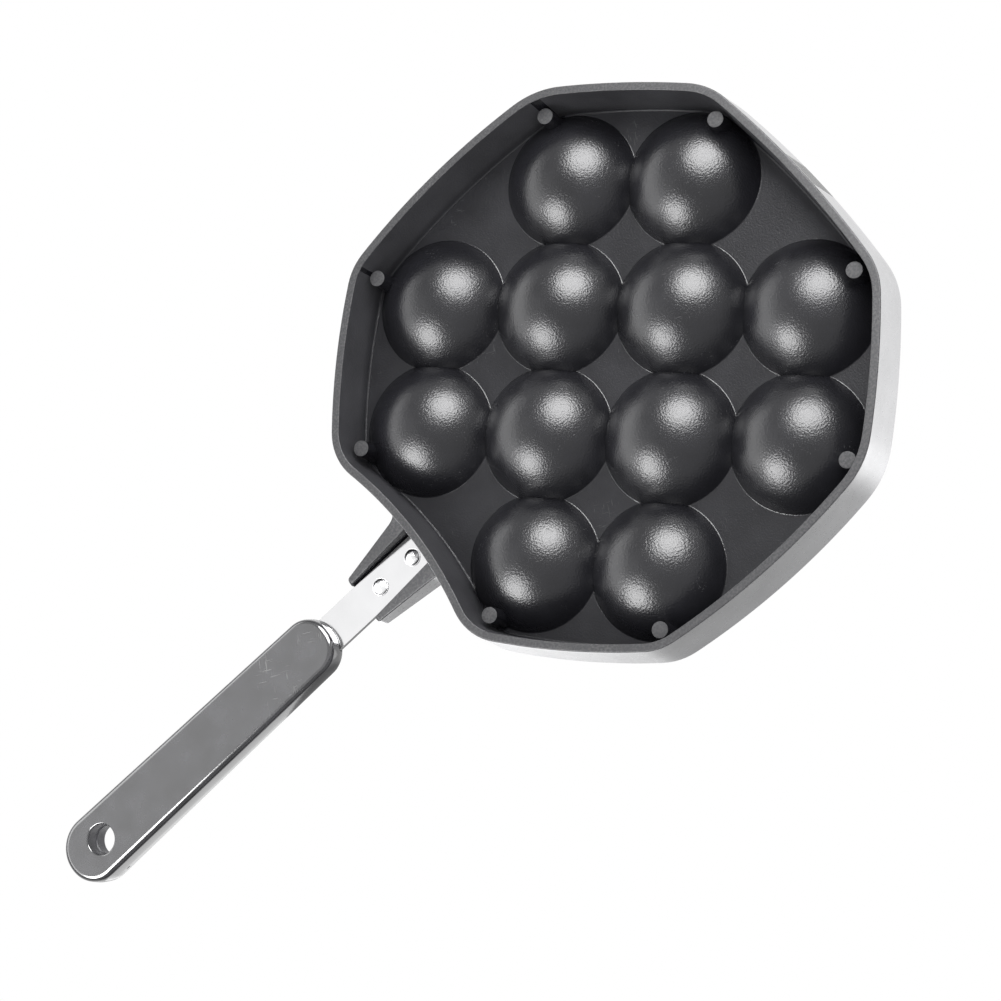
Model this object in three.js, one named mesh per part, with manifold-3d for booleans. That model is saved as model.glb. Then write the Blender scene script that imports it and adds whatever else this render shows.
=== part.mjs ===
// Takoyaki pan: a one-piece aluminium casting with twelve round cups, a tapering skirt under it and a
// channelled lug at one side, a flat steel strap held in the lug by two rivets, and a moulded grip.
// Units are millimetres. +Z is up with the cups open to the top, and the handle points along +X.
import * as THREE from 'three';
import { mergeVertices } from 'three/addons/utils/BufferGeometryUtils.js';
import Module from 'manifold-3d';

const wasm = await Module();
wasm.setup();

// Cups
const cupPitch = 46;
const cupRowCounts = [2, 4, 4, 2];
const landWidth = 1.2;
const cupDepth = 14.8;
const cupWall = 3.2;
const mouthRound = 0.7;
const domeFootRound = 1.5;

// Plate and skirt
const plateThickness = 3;
const skirtDepth = 19.7;
const rimThickness = 3;
const outerDraft = 1.8;
const innerDraft = 0.7;
const rimRound = 0.7;
const plateRound = 1.5;
const skirtFootRound = 1.8;

// Corners of the rim on one side of the handle's line, from the handle round to the far side.
// Place, rounding and the bow of the side that follows are shares of the cup pitch.
const handleSideBowShare = -0.127;
const cornerShares = [
  { x: 2.09, y: 0.91, round: 0.45, bow: 0.053 },
  { x: 1.0, y: 2.01, round: 0.48, bow: 0.085 },
  { x: -1.0, y: 2.0, round: 0.71, bow: 0.036 },
  { x: -1.99, y: 1.0, round: 0.55, bow: 0.066 },
];

// Round posts under the plate, beside the corners, places in shares of the cup pitch
const postPlaceShares = [[1.875, 0.873], [0.923, 1.851], [-0.912, 1.841], [-1.849, 0.817]];
const postDiameter = 5.9;
const postLength = 13.5;
const postDraft = 0.3;
const postEdge = 0.3;
const postFoot = 0.8;

// Lug that takes the strap
const lugLength = 31;
const lugDrop = 1.4;
const lugFloor = 2;
const wingRootWidth = 6.4;
const wingTipWidth = 2.5;
const wingRootDepth = 8.2;
const wingTipDepth = 4;
const wingFlare = 5;
const wingDraft = 0.6;
const wingTipRound = 1.2;
const lugNoseRound = 3;
const channelGap = 0.6;

// Strap
const strapWidth = 14.2;
const strapThickness = 1.8;
const strapSetback = 1;
const strapCornerRound = 1.5;
const strapReach = 46;
const tangLength = 58;
const tangHoleDiameter = 6;
const tangHoleSpacing = 26;

// Rivets
const rivetShankDiameter = 4;
const rivetHeadDiameter = 6.4;
const rivetHeadHeight = 1.6;
const rivetTailDiameter = 6.8;
const rivetTailHeight = 1;
const rivetSetback = 5.6;
const rivetSpacing = 16.1;

// Grip
const gripLength = 136.3;
const gripNearWidth = 22.8;
const gripFarWidth = 25.8;
const gripNearThickness = 9.6;
const gripFarThickness = 11.9;
const gripEdgeRound = 2.2;
const gripSideDraft = 0.3;
const gripNearCorner = 10.5;
const gripFarCorner = 12.6;
const gripDrop = 1.7;
const hangHoleDiameter = 11.4;
const hangHoleSetback = 17.5;
const hangHoleEdge = 0.6;
const hangHoleRidge = 0.4;
const gateSetback = 16.9;
const gateRise = 1.8;
const gateLength = 2;
const gateHeight = 0.9;
const gateDepth = 0.5;

// Clearance between pieces that touch, and how far a cutter runs past what it cuts
const seatGap = 0.3;
const overrun = 2;

// Numbers of facets
const cupFacets = 24;
const cupRings = 5;
const roundFacets = 16;
const sideSteps = 6;
const cornerSteps = 4;
const edgeSteps = 2;
const gripCornerSteps = 6;
const gripEdgeSteps = 3;
const gateFacets = 8;

const quarterTurn = Math.PI / 2;
const lerp = THREE.MathUtils.lerp;

// A closed three.js geometry as a solid that can be joined and cut
function toSolid(geometry) {
  const bare = geometry.clone();
  bare.deleteAttribute('normal');
  bare.deleteAttribute('uv');
  const merged = mergeVertices(bare);
  const corners = merged.index.array;
  const triangles = [];
  for (let k = 0; k < corners.length; k += 3) {
    const [a, b, c] = corners.slice(k, k + 3);
    if (a !== b && b !== c && c !== a) triangles.push(a, b, c);
  }
  return new wasm.Manifold(new wasm.Mesh({
    numProp: 3,
    vertProperties: new Float32Array(merged.attributes.position.array),
    triVerts: new Uint32Array(triangles),
  }));
}

// A finished solid as a named mesh
function toMesh(name, solid, material) {
  const { vertProperties, triVerts } = solid.getMesh();
  const geometry = new THREE.BufferGeometry();
  geometry.setAttribute('position', new THREE.BufferAttribute(vertProperties, 3));
  geometry.setIndex(new THREE.BufferAttribute(triVerts, 1));
  geometry.computeVertexNormals();
  const mesh = new THREE.Mesh(geometry, material);
  mesh.name = name;
  return mesh;
}

// A solid turned about the Z axis, from a profile of [radius, height] that runs from its lowest point
// on the axis, outside, to its highest point on the axis
function turned(profile, facets) {
  const points = profile.map(([radius, height]) => new THREE.Vector2(radius, height));
  return toSolid(new THREE.LatheGeometry(points, facets).rotateX(quarterTurn));
}

// A plan outline in X and Y, raised from one height to another, with sides that may spread on the way up
function raised(shape, low, high, spread = 0) {
  const settings = { depth: high - low, bevelEnabled: false, curveSegments: cornerSteps };
  const geometry = new THREE.ExtrudeGeometry(shape, settings);
  const place = geometry.attributes.position;
  for (let k = 0; k < place.count; k++) {
    if (place.getZ(k) > 0) place.setY(k, place.getY(k) + Math.sign(place.getY(k)) * spread);
  }
  return toSolid(geometry.translate(0, 0, low));
}

// A side outline in X and Z, drawn out evenly to both sides of the handle's line
function drawnAcross(shape, width) {
  const settings = { depth: width, bevelEnabled: false, curveSegments: cornerSteps };
  return toSolid(new THREE.ExtrudeGeometry(shape, settings).rotateX(quarterTurn).translate(0, width / 2, 0));
}

// A round cutter or peg that stands at x, y from one height to another
function upright(x, y, diameter, low, high) {
  const radius = diameter / 2;
  return turned([[0, low], [radius, low], [radius, high], [0, high]], roundFacets).translate([x, y, 0]);
}

// A stack of level rings with as many points each, closed by a cap at both ends
function loft(rings) {
  const count = rings[0].length;
  const indices = [];
  for (let ring = 0; ring + 1 < rings.length; ring++) {
    for (let k = 0; k < count; k++) {
      const low = ring * count + k;
      const lowNext = ring * count + ((k + 1) % count);
      indices.push(low, lowNext, lowNext + count, low, lowNext + count, low + count);
    }
  }
  const flat = rings[0].map((point) => new THREE.Vector2(point.x, point.y));
  const top = (rings.length - 1) * count;
  for (const [a, b, c] of THREE.ShapeUtils.triangulateShape(flat, [])) {
    indices.push(a, c, b, top + a, top + b, top + c);
  }
  const geometry = new THREE.BufferGeometry().setFromPoints(rings.flat());
  geometry.setIndex(indices);
  return toSolid(geometry);
}

// Outline of the rim: sides that bow along large arcs, with rounded corners between them
const corners = [...cornerShares, ...[...cornerShares].reverse().map((corner, k) => ({
  ...corner,
  y: -corner.y,
  bow: k < cornerShares.length - 1 ? cornerShares[cornerShares.length - 2 - k].bow : handleSideBowShare,
}))].map(({ x, y, round, bow }) => ({
  place: new THREE.Vector2(x, y).multiplyScalar(cupPitch),
  round: round * cupPitch,
  bow: bow * cupPitch,
}));

// The arc of a side: bow is how far its middle stands out from the straight line between the corners
function bowedSide(start, end, bow) {
  const chord = end.clone().sub(start);
  const radius = (chord.lengthSq() / 4 + bow * bow) / (2 * Math.abs(bow));
  const outward = new THREE.Vector2(chord.y, -chord.x).normalize();
  const side = Math.sign(bow);
  const centre = start.clone().lerp(end, 0.5).addScaledVector(outward, bow - side * radius);
  return { centre, radius, side };
}

// The arc that rounds the corner between two sides
function cornerArc(before, after, { place, round }) {
  const reach = before.radius - before.side * round;
  const nextReach = after.radius - after.side * round;
  const line = after.centre.clone().sub(before.centre);
  const along = (reach ** 2 - nextReach ** 2 + line.lengthSq()) / (2 * line.length());
  const across = Math.sqrt(Math.max(0, reach ** 2 - along ** 2));
  line.normalize();
  const foot = before.centre.clone().addScaledVector(line, along);
  const [centre] = [across, -across]
    .map((step) => foot.clone().addScaledVector(new THREE.Vector2(-line.y, line.x), step))
    .sort((a, b) => a.distanceTo(place) - b.distanceTo(place));
  return { centre, radius: round, side: 1 };
}

// Where a corner arc runs into a side arc
function meetingPoint(corner, side) {
  const direction = corner.centre.clone().sub(side.centre).normalize();
  return side.centre.clone().addScaledVector(direction, side.radius);
}

function angleAt(arc, point) {
  return Math.atan2(point.y - arc.centre.y, point.x - arc.centre.x);
}

// Start angle and signed sweep of an arc between two of its points, the short way round
function spanned(arc, start, end, steps) {
  const from = angleAt(arc, start);
  const turn = angleAt(arc, end) - from;
  return { ...arc, from, sweep: Math.atan2(Math.sin(turn), Math.cos(turn)), steps };
}

const sides = corners.map((corner, k) => (
  bowedSide(corner.place, corners[(k + 1) % corners.length].place, corner.bow)));
const rimArcs = corners.flatMap((corner, k) => {
  const before = sides[(k + sides.length - 1) % sides.length];
  const after = sides[k];
  const next = sides[(k + 1) % sides.length];
  const here = cornerArc(before, after, corner);
  const there = cornerArc(after, next, corners[(k + 1) % corners.length]);
  return [
    spanned(here, meetingPoint(here, before), meetingPoint(here, after), cornerSteps),
    spanned(after, meetingPoint(here, after), meetingPoint(there, after), sideSteps),
  ];
});

// The rim's outline, moved outwards by an offset and laid at a height
function ringAt(offset, height) {
  return rimArcs.flatMap(({ centre, radius, side, from, sweep, steps }) => (
    Array.from({ length: steps }, (_, k) => {
      const angle = from + (sweep * k) / steps;
      const reach = radius + side * offset;
      return new THREE.Vector3(centre.x + reach * Math.cos(angle), centre.y + reach * Math.sin(angle), height);
    })
  ));
}

// Levels and forms that several parts of the casting share
const bodyHeight = skirtDepth + plateThickness;
const mouthRadius = (cupPitch - landWidth) / 2;
const cupRadius = (mouthRadius ** 2 + cupDepth ** 2) / (2 * cupDepth);
const cupCentreHeight = bodyHeight + cupRadius - cupDepth;
const handleSideX = (cornerShares[0].x + handleSideBowShare) * cupPitch;

// Quarter-round steps as [inward, upward] shares of a radius
function quarterShares(steps) {
  return Array.from({ length: steps + 1 }, (_, k) => {
    const angle = (quarterTurn * k) / steps;
    return [1 - Math.sin(angle), 1 - Math.cos(angle)];
  });
}
const edgeShares = quarterShares(edgeSteps);

// The outside of the casting: a rounded rim, a wall that widens upwards and a rounded top edge
function outerForm() {
  const rim = edgeShares.map(([inward, upward]) => ringAt(-rimRound * inward, rimRound * upward));
  const top = edgeShares.map(([inward, upward]) => (
    ringAt(outerDraft - plateRound * upward, bodyHeight - plateRound * inward)));
  return loft([...rim, ...top]);
}

// The hollow under the plate, inside the skirt
function skirtHollow() {
  const mouth = rimRound - rimThickness;
  const rim = edgeShares.map(([inward, upward]) => (
    ringAt(mouth - rimRound * (1 - inward), rimRound * upward)));
  const foot = edgeShares.map(([inward, upward]) => (
    ringAt(-rimThickness - innerDraft - skirtFootRound * upward, skirtDepth - skirtFootRound * inward)));
  return loft([ringAt(mouth, -overrun), ...rim, ...foot]);
}

// A ball's lower part that runs into a level face with a small fillet and goes straight on upwards
function ballUnderFace(radius, faceHeight, fillet, topHeight) {
  const filletHeight = faceHeight - fillet;
  const drop = cupCentreHeight - filletHeight;
  const filletX = Math.sqrt((radius + fillet) ** 2 - drop ** 2);
  const meeting = Math.atan2(filletX, drop);
  const profile = [[0, cupCentreHeight - radius]];
  for (let k = 1; k <= cupRings; k++) {
    const angle = (meeting * k) / cupRings;
    profile.push([radius * Math.sin(angle), cupCentreHeight - radius * Math.cos(angle)]);
  }
  for (let k = 1; k <= edgeSteps; k++) {
    const angle = (meeting * (edgeSteps - k)) / edgeSteps;
    profile.push([filletX - fillet * Math.sin(angle), filletHeight + fillet * Math.cos(angle)]);
  }
  profile.push([filletX, topHeight], [0, topHeight]);
  return turned(profile, cupFacets);
}

// Places of the cups, whose rows lie at 45 degrees to the handle
function cupPlaces() {
  const middle = new THREE.Vector2();
  return cupRowCounts.flatMap((count, row) => Array.from({ length: count }, (_, k) => (
    new THREE.Vector2(k - (count - 1) / 2, row - (cupRowCounts.length - 1) / 2)
      .multiplyScalar(cupPitch)
      .rotateAround(middle, quarterTurn / 2)
  )));
}

// A post under the plate, with a broken edge at its tip and a spread foot
function post() {
  const radius = postDiameter / 2;
  const tip = skirtDepth - postLength;
  const footRadius = radius + postDraft;
  const rooted = skirtDepth + plateThickness / 2;
  return turned([
    [0, tip], [radius - postEdge, tip], [radius, tip + postEdge],
    [footRadius, skirtDepth - postFoot], [footRadius + postFoot, skirtDepth],
    [footRadius + postFoot, rooted], [0, rooted],
  ], roundFacets);
}

// Heights and places of the lug, which the strap, the rivets and the grip share
const lugTop = bodyHeight - lugDrop;
const strapTop = lugTop - lugFloor - seatGap;
const strapBottom = strapTop - strapThickness;
const channelHalf = strapWidth / 2 + channelGap;
const wallFaceX = handleSideX + outerDraft;
const lugTipX = wallFaceX + lugLength;
const strapStartX = wallFaceX + strapSetback;
const rivetPlaces = [strapStartX + rivetSetback, strapStartX + rivetSetback + rivetSpacing];
const gripStartX = strapStartX + strapReach;
const gripEndX = gripStartX + gripLength;
const gripMiddle = (strapTop + strapBottom) / 2 - gripDrop;
const holeDiameter = rivetShankDiameter + 2 * seatGap;

// The lug: a level floor with a wing down each side, thinning and rising towards its tip
function lug() {
  const rootX = handleSideX - rimThickness / 2;
  const rootHalf = channelHalf + wingRootWidth;
  const tipHalf = channelHalf + wingTipWidth;
  const flareX = wallFaceX + wingFlare;
  const flareHalf = lerp(rootHalf, tipHalf, wingFlare / lugLength);
  const plan = new THREE.Shape();
  plan.moveTo(rootX, -rootHalf - wingFlare);
  plan.lineTo(wallFaceX, -rootHalf - wingFlare);
  plan.quadraticCurveTo(wallFaceX, -rootHalf, flareX, -flareHalf);
  plan.lineTo(lugTipX - wingTipRound, -tipHalf);
  plan.quadraticCurveTo(lugTipX, -tipHalf, lugTipX, wingTipRound - tipHalf);
  plan.lineTo(lugTipX, tipHalf - wingTipRound);
  plan.quadraticCurveTo(lugTipX, tipHalf, lugTipX - wingTipRound, tipHalf);
  plan.lineTo(flareX, flareHalf);
  plan.quadraticCurveTo(wallFaceX, rootHalf, wallFaceX, rootHalf + wingFlare);
  plan.lineTo(rootX, rootHalf + wingFlare);

  const floorHeight = lugTop - lugFloor;
  const tipLow = floorHeight - wingTipDepth;
  const profile = new THREE.Shape();
  profile.moveTo(rootX, floorHeight - wingRootDepth);
  profile.lineTo(lugTipX - wingTipRound, tipLow);
  profile.quadraticCurveTo(lugTipX, tipLow, lugTipX, tipLow + wingTipRound);
  profile.lineTo(lugTipX, lugTop - lugNoseRound);
  profile.quadraticCurveTo(lugTipX, lugTop, lugTipX - lugNoseRound, lugTop);
  profile.lineTo(rootX, lugTop);

  const channel = new THREE.Shape([
    new THREE.Vector2(rootX - overrun, -channelHalf), new THREE.Vector2(lugTipX + overrun, -channelHalf),
    new THREE.Vector2(lugTipX + overrun, channelHalf), new THREE.Vector2(rootX - overrun, channelHalf),
  ]);
  const low = floorHeight - wingRootDepth - overrun;
  let solid = raised(plan, low, lugTop + overrun, wingDraft)
    .intersect(drawnAcross(profile, 2 * (rootHalf + wingFlare + overrun)))
    .subtract(raised(channel, low - overrun, floorHeight));
  for (const x of rivetPlaces) {
    solid = solid.subtract(upright(x, 0, holeDiameter, floorHeight - overrun, lugTop + overrun));
  }
  return solid;
}

// The casting: shell, domes, posts and lug in one, with the cups sunk into its top
function panBody() {
  const places = cupPlaces();
  const dome = ballUnderFace(cupRadius + cupWall, skirtDepth, domeFootRound, skirtDepth + plateThickness / 2);
  const cup = ballUnderFace(cupRadius, bodyHeight, mouthRound, bodyHeight + overrun);
  const stud = post();
  let solid = outerForm().subtract(skirtHollow());
  for (const { x, y } of places) solid = solid.add(dome.translate([x, y, 0]));
  for (const [alongShare, acrossShare] of postPlaceShares) {
    for (const side of [1, -1]) {
      solid = solid.add(stud.translate([alongShare * cupPitch, side * acrossShare * cupPitch, 0]));
    }
  }
  solid = solid.add(lug());
  for (const { x, y } of places) solid = solid.subtract(cup.translate([x, y, 0]));
  return solid;
}

// A level bar from start to end with rounded corners
function barShape(startX, endX, width, round) {
  const half = width / 2;
  const shape = new THREE.Shape();
  shape.moveTo(startX + round, -half);
  shape.lineTo(endX - round, -half);
  shape.absarc(endX - round, round - half, round, -quarterTurn, 0);
  shape.absarc(endX - round, half - round, round, 0, quarterTurn);
  shape.absarc(startX + round, half - round, round, quarterTurn, 2 * quarterTurn);
  shape.absarc(startX + round, round - half, round, 2 * quarterTurn, 3 * quarterTurn);
  return shape;
}

const tangEndX = gripStartX + tangLength;
const tangHolePlaces = [1, -1].map((side) => (
  gripStartX + tangLength / 2 + (side * tangHoleSpacing) / 2));

// The strap: flat bar from the wall of the pan into the grip, with rivet holes and two holes in its tang
function strap() {
  let solid = raised(barShape(strapStartX, tangEndX, strapWidth, strapCornerRound), strapBottom, strapTop);
  const low = strapBottom - overrun;
  const high = strapTop + overrun;
  for (const x of rivetPlaces) solid = solid.subtract(upright(x, 0, holeDiameter, low, high));
  for (const x of tangHolePlaces) solid = solid.subtract(upright(x, 0, tangHoleDiameter, low, high));
  return solid;
}

// A rivet: domed head below the strap, shank through strap and lug, and a low flat tail on the lug
function rivet(x) {
  const headFoot = strapBottom - seatGap;
  const tailFoot = lugTop + seatGap;
  const headRadius = rivetHeadDiameter / 2;
  const shank = rivetShankDiameter / 2;
  const tailRadius = rivetTailDiameter / 2;
  const dome = Array.from({ length: cupRings }, (_, k) => {
    const angle = (quarterTurn * k) / (cupRings - 1);
    return [headRadius * Math.sin(angle), headFoot - rivetHeadHeight * Math.cos(angle)];
  });
  return turned([
    ...dome, [shank, headFoot], [shank, tailFoot], [tailRadius, tailFoot],
    [tailRadius - rivetTailHeight / 2, tailFoot + rivetTailHeight], [0, tailFoot + rivetTailHeight],
  ], roundFacets).translate([x, 0, 0]);
}

// Thickness of the grip at a place along it
function gripThicknessAt(x) {
  return lerp(gripNearThickness, gripFarThickness, (x - gripStartX) / gripLength);
}

// The grip's plan drawn in by an inset, where side runs from -1 at the lower face over 0 at the middle
// to 1 at the upper face, and lift is how far the ring lies in from that face
function gripRing(inset, side, lift) {
  const nearX = gripStartX + gripNearCorner;
  const farX = gripEndX - gripFarCorner;
  const nearY = gripNearWidth / 2 - gripNearCorner;
  const farY = gripFarWidth / 2 - gripFarCorner;
  const turns = [
    [farX, -farY, gripFarCorner], [farX, farY, gripFarCorner],
    [nearX, nearY, gripNearCorner], [nearX, -nearY, gripNearCorner],
  ];
  return turns.flatMap(([centreX, centreY, round], quarter) => (
    Array.from({ length: gripCornerSteps + 1 }, (_, k) => {
      const angle = quarterTurn * (quarter - 1 + k / gripCornerSteps);
      const x = centreX + (round - inset) * Math.cos(angle);
      const y = centreY + (round - inset) * Math.sin(angle);
      return new THREE.Vector3(x, y, gripMiddle + side * (gripThicknessAt(x) / 2 - lift));
    })
  ));
}

// The mark that the mould's gate left in one side of the grip, as the solid that is cut out
function gateMark() {
  const nearX = gripStartX + gripNearCorner;
  const farX = gripEndX - gripFarCorner;
  const x = gripEndX - gateSetback;
  const half = lerp(gripNearWidth, gripFarWidth, (x - nearX) / (farX - nearX)) / 2;
  return toSolid(new THREE.SphereGeometry(1, gateFacets, gateFacets / 2))
    .scale([gateLength / 2, gateDepth, gateHeight / 2])
    .translate([x, -half, gripMiddle + gateRise]);
}

// The hole to hang the grip by, as the solid that is cut out: rounded mouths and a parting ridge
function hangHole() {
  const x = gripEndX - hangHoleSetback;
  const low = gripMiddle - gripThicknessAt(x) / 2;
  const high = gripMiddle + gripThicknessAt(x) / 2;
  const radius = hangHoleDiameter / 2;
  const wide = radius + hangHoleEdge;
  return turned([
    [0, low - overrun], [wide, low - overrun], [wide, low], [radius, low + hangHoleEdge],
    [radius, gripMiddle - hangHoleRidge], [radius - hangHoleRidge, gripMiddle],
    [radius, gripMiddle + hangHoleRidge], [radius, high - hangHoleEdge], [wide, high],
    [wide, high + overrun], [0, high + overrun],
  ], roundFacets).translate([x, 0, 0]);
}

// The grip: a flat bar with rounded ends and edges and a parting line round its drafted sides, which
// widens and thickens away from the pan, is moulded round the tang and has a hole to hang it by
function grip() {
  const half = quarterShares(gripEdgeSteps)
    .map(([inward, upward]) => [gripSideDraft + gripEdgeRound * inward, gripEdgeRound * upward]);
  const lower = half.map(([inset, lift]) => gripRing(inset, -1, lift));
  const upper = [...half].reverse().map(([inset, lift]) => gripRing(inset, 1, lift));

  const slotWidth = strapWidth + 2 * seatGap;
  let slot = raised(barShape(gripStartX - gripNearCorner, tangEndX + seatGap, slotWidth, strapCornerRound),
    strapBottom - seatGap, strapTop + seatGap);
  for (const x of tangHolePlaces) {
    slot = slot.subtract(
      upright(x, 0, tangHoleDiameter - 2 * seatGap, strapBottom - overrun, strapTop + overrun));
  }
  return loft([...lower, gripRing(0, 0, 0), ...upper])
    .subtract(slot).subtract(hangHole()).subtract(gateMark());
}

const coatedAluminium = new THREE.MeshStandardMaterial({ color: 0x3f3f44, roughness: 0.45, metalness: 0.2 });
const strapSteel = new THREE.MeshStandardMaterial({ color: 0xdededf, roughness: 0.25, metalness: 1 });
const rivetAluminium = new THREE.MeshStandardMaterial({ color: 0xe4e4e6, roughness: 0.3, metalness: 1 });
const phenolic = new THREE.MeshStandardMaterial({ color: 0x2c2b2e, roughness: 0.3, metalness: 0 });

const takoyakiPan = new THREE.Group();
takoyakiPan.name = 'takoyaki_pan';
takoyakiPan.add(
  toMesh('pan_body', panBody(), coatedAluminium),
  toMesh('handle_strap', strap(), strapSteel),
  toMesh('rivet_at_wall', rivet(rivetPlaces[0]), rivetAluminium),
  toMesh('rivet_at_tip', rivet(rivetPlaces[1]), rivetAluminium),
  toMesh('grip', grip(), phenolic),
);

// The origin is in the middle of the pan's whole length, on the level that the rim stands on
const farX = (cornerShares[3].x - cornerShares[3].bow) * cupPitch - outerDraft;
takoyakiPan.position.x = -(farX + gripEndX) / 2;

export default takoyakiPan;
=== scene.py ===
"""Looks of a cast takoyaki pan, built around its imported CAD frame.

Every size is in metres in the frame of the CAD model: +X runs along the handle, +Z is up with the cups
open to the top, and the rim stands on z = 0. The photograph shows the pan from below, so the camera looks
up at it.
"""

from __future__ import annotations

import logging
import math
from dataclasses import dataclass, field
from enum import Enum
from typing import Callable, Iterable, Sequence

import bmesh
import bpy
from bpy.types import Material, MeshPolygon, Node, NodeSocket, NodeTree, Object
from mathutils import Matrix, Quaternion, Vector
from mathutils.geometry import tessellate_polygon


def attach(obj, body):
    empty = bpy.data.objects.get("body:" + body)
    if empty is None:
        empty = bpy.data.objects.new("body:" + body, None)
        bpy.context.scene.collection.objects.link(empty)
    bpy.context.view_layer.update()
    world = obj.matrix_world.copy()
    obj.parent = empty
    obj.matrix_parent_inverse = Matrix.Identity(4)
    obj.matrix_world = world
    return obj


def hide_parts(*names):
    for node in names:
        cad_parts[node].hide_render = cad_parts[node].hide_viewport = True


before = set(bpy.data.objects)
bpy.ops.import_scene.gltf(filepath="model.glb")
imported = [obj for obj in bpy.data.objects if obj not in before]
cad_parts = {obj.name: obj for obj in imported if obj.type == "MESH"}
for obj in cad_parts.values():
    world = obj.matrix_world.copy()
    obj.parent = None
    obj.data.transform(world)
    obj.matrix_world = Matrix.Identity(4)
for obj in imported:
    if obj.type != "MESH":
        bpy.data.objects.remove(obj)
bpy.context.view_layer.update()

MM = 0.001
QUARTER = math.pi / 2
ROUND_STEPS = 48
CORNER_STEPS = 14
STRAIGHT_DOWN = -0.99
STEEPLY_DOWN = -0.7
PARTLY_DOWN = -0.5

log = logging.getLogger("takoyaki_pan")

Colour = tuple[float, float, float]
Span = tuple[float, float]
Ring = list[Vector]
Profile = Sequence[tuple[float, float]]


class Solid(Enum):
    """How one solid is combined with another."""

    JOIN = "UNION"
    CARVE = "DIFFERENCE"


class Skin(Enum):
    """The finishes on the casting, by material slot."""

    COATED = 0
    WORN = 1
    BARE = 2
    # Painted light: the coating made duller and painted lighter on the plate's lower face and the skirt's
    # inner side.
    DULL = 3


class LampShape(Enum):
    """Shapes of a soft lamp."""

    ROUND = "ELLIPSE"
    SQUARE = "RECTANGLE"


# Shared sizes, the same as in the CAD source


@dataclass(frozen=True)
class Levels:
    """Heights and places that several pieces share."""

    pitch: float = 46 * MM
    skirt: float = 19.7 * MM
    plate: float = 3 * MM
    centre_x: float = -89.511 * MM
    seat: float = 0.3 * MM
    lug_drop: float = 1.4 * MM
    lug_floor: float = 2 * MM
    strap_thickness: float = 1.8 * MM
    strap_width: float = 14.2 * MM
    handle_side: float = 90.298 * MM
    outer_draft: float = 1.8 * MM
    strap_setback: float = 1 * MM
    strap_reach: float = 46 * MM
    rivet_setback: float = 5.6 * MM
    rivet_spacing: float = 16.1 * MM
    shank: float = 4 * MM

    @property
    def top(self) -> float:
        """Level of the cooking face."""
        return self.skirt + self.plate

    @property
    def lug_top(self) -> float:
        """Level of the lug's upper face."""
        return self.top - self.lug_drop

    @property
    def channel_floor(self) -> float:
        """Level of the lug's lower face, which the strap lies under."""
        return self.lug_top - self.lug_floor

    @property
    def strap_top(self) -> float:
        """Level of the strap's upper face."""
        return self.channel_floor - self.seat

    @property
    def strap_bottom(self) -> float:
        """Level of the strap's lower face."""
        return self.strap_top - self.strap_thickness

    @property
    def wall_x(self) -> float:
        """Outer face of the wall at the handle."""
        return self.centre_x + self.handle_side + self.outer_draft

    @property
    def strap_x(self) -> float:
        """Start of the strap."""
        return self.wall_x + self.strap_setback

    @property
    def grip_x(self) -> float:
        """Start of the grip."""
        return self.strap_x + self.strap_reach

    @property
    def rivet_places(self) -> list[Vector]:
        """Places of the two rivets' axes."""
        first = self.strap_x + self.rivet_setback
        return [Vector((x, 0, 0)) for x in (first, first + self.rivet_spacing)]


LEVELS = Levels()


# Mesh helpers


def mesh_object(name: str, points: Iterable[Sequence[float]], faces: Iterable[Sequence[int]]) -> Object:
    """Make an object from points and faces, with its faces turned outwards.

    Args:
        name: Name of the object.
        points: Places of the vertices.
        faces: Vertex numbers of each face.

    Returns:
        The new object, linked to the scene.
    """
    mesh = bpy.data.meshes.new(name)
    mesh.from_pydata([tuple(point) for point in points], [], [tuple(face) for face in faces])
    mesh.validate()
    turned = bmesh.new()
    turned.from_mesh(mesh)
    bmesh.ops.recalc_face_normals(turned, faces=turned.faces)
    turned.to_mesh(mesh)
    turned.free()
    made = bpy.data.objects.new(name, mesh)
    bpy.context.scene.collection.objects.link(made)
    return made


def loft(name: str, rings: Sequence[Ring]) -> Object:
    """Join rings of as many points each by quads and close both ends.

    Args:
        name: Name of the object.
        rings: The rings, in order.

    Returns:
        The closed solid.
    """
    count = len(rings[0])
    points = [point for ring in rings for point in ring]
    faces: list[Sequence[int]] = [
        (row + k, row + (k + 1) % count, row + count + (k + 1) % count, row + count + k)
        for row in range(0, count * (len(rings) - 1), count)
        for k in range(count)
    ]
    faces.append(range(count))
    faces.append(range(count * (len(rings) - 1), count * len(rings)))
    return mesh_object(name, points, faces)


def lathe(name: str, profile: Profile, segments: int) -> Object:
    """Turn a profile about the Z axis.

    Args:
        name: Name of the object.
        profile: Radius and height of each point, from the axis outside and back to the axis.
        segments: Number of steps round the axis.

    Returns:
        The closed solid.
    """
    points = [Vector((0, 0, profile[0][1])), Vector((0, 0, profile[-1][1]))]
    inner = profile[1:-1]
    for radius, height in inner:
        for k in range(segments):
            angle = 2 * math.pi * k / segments
            points.append(Vector((radius * math.cos(angle), radius * math.sin(angle), height)))
    faces: list[Sequence[int]] = []
    last = 2 + segments * (len(inner) - 1)
    for k in range(segments):
        after = (k + 1) % segments
        faces.append((0, 2 + after, 2 + k))
        faces.append((1, last + k, last + after))
        for row in range(2, last, segments):
            faces.append((row + k, row + after, row + segments + after, row + segments + k))
    return mesh_object(name, points, faces)


def baked(made: Object) -> Object:
    """Turn an object with modifiers into a plain mesh.

    Args:
        made: The object.

    Returns:
        The same object with its evaluated mesh and no modifiers.
    """
    depsgraph = bpy.context.evaluated_depsgraph_get()
    mesh = bpy.data.meshes.new_from_object(made.evaluated_get(depsgraph))
    made.modifiers.clear()
    made.data = mesh
    return made


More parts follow.
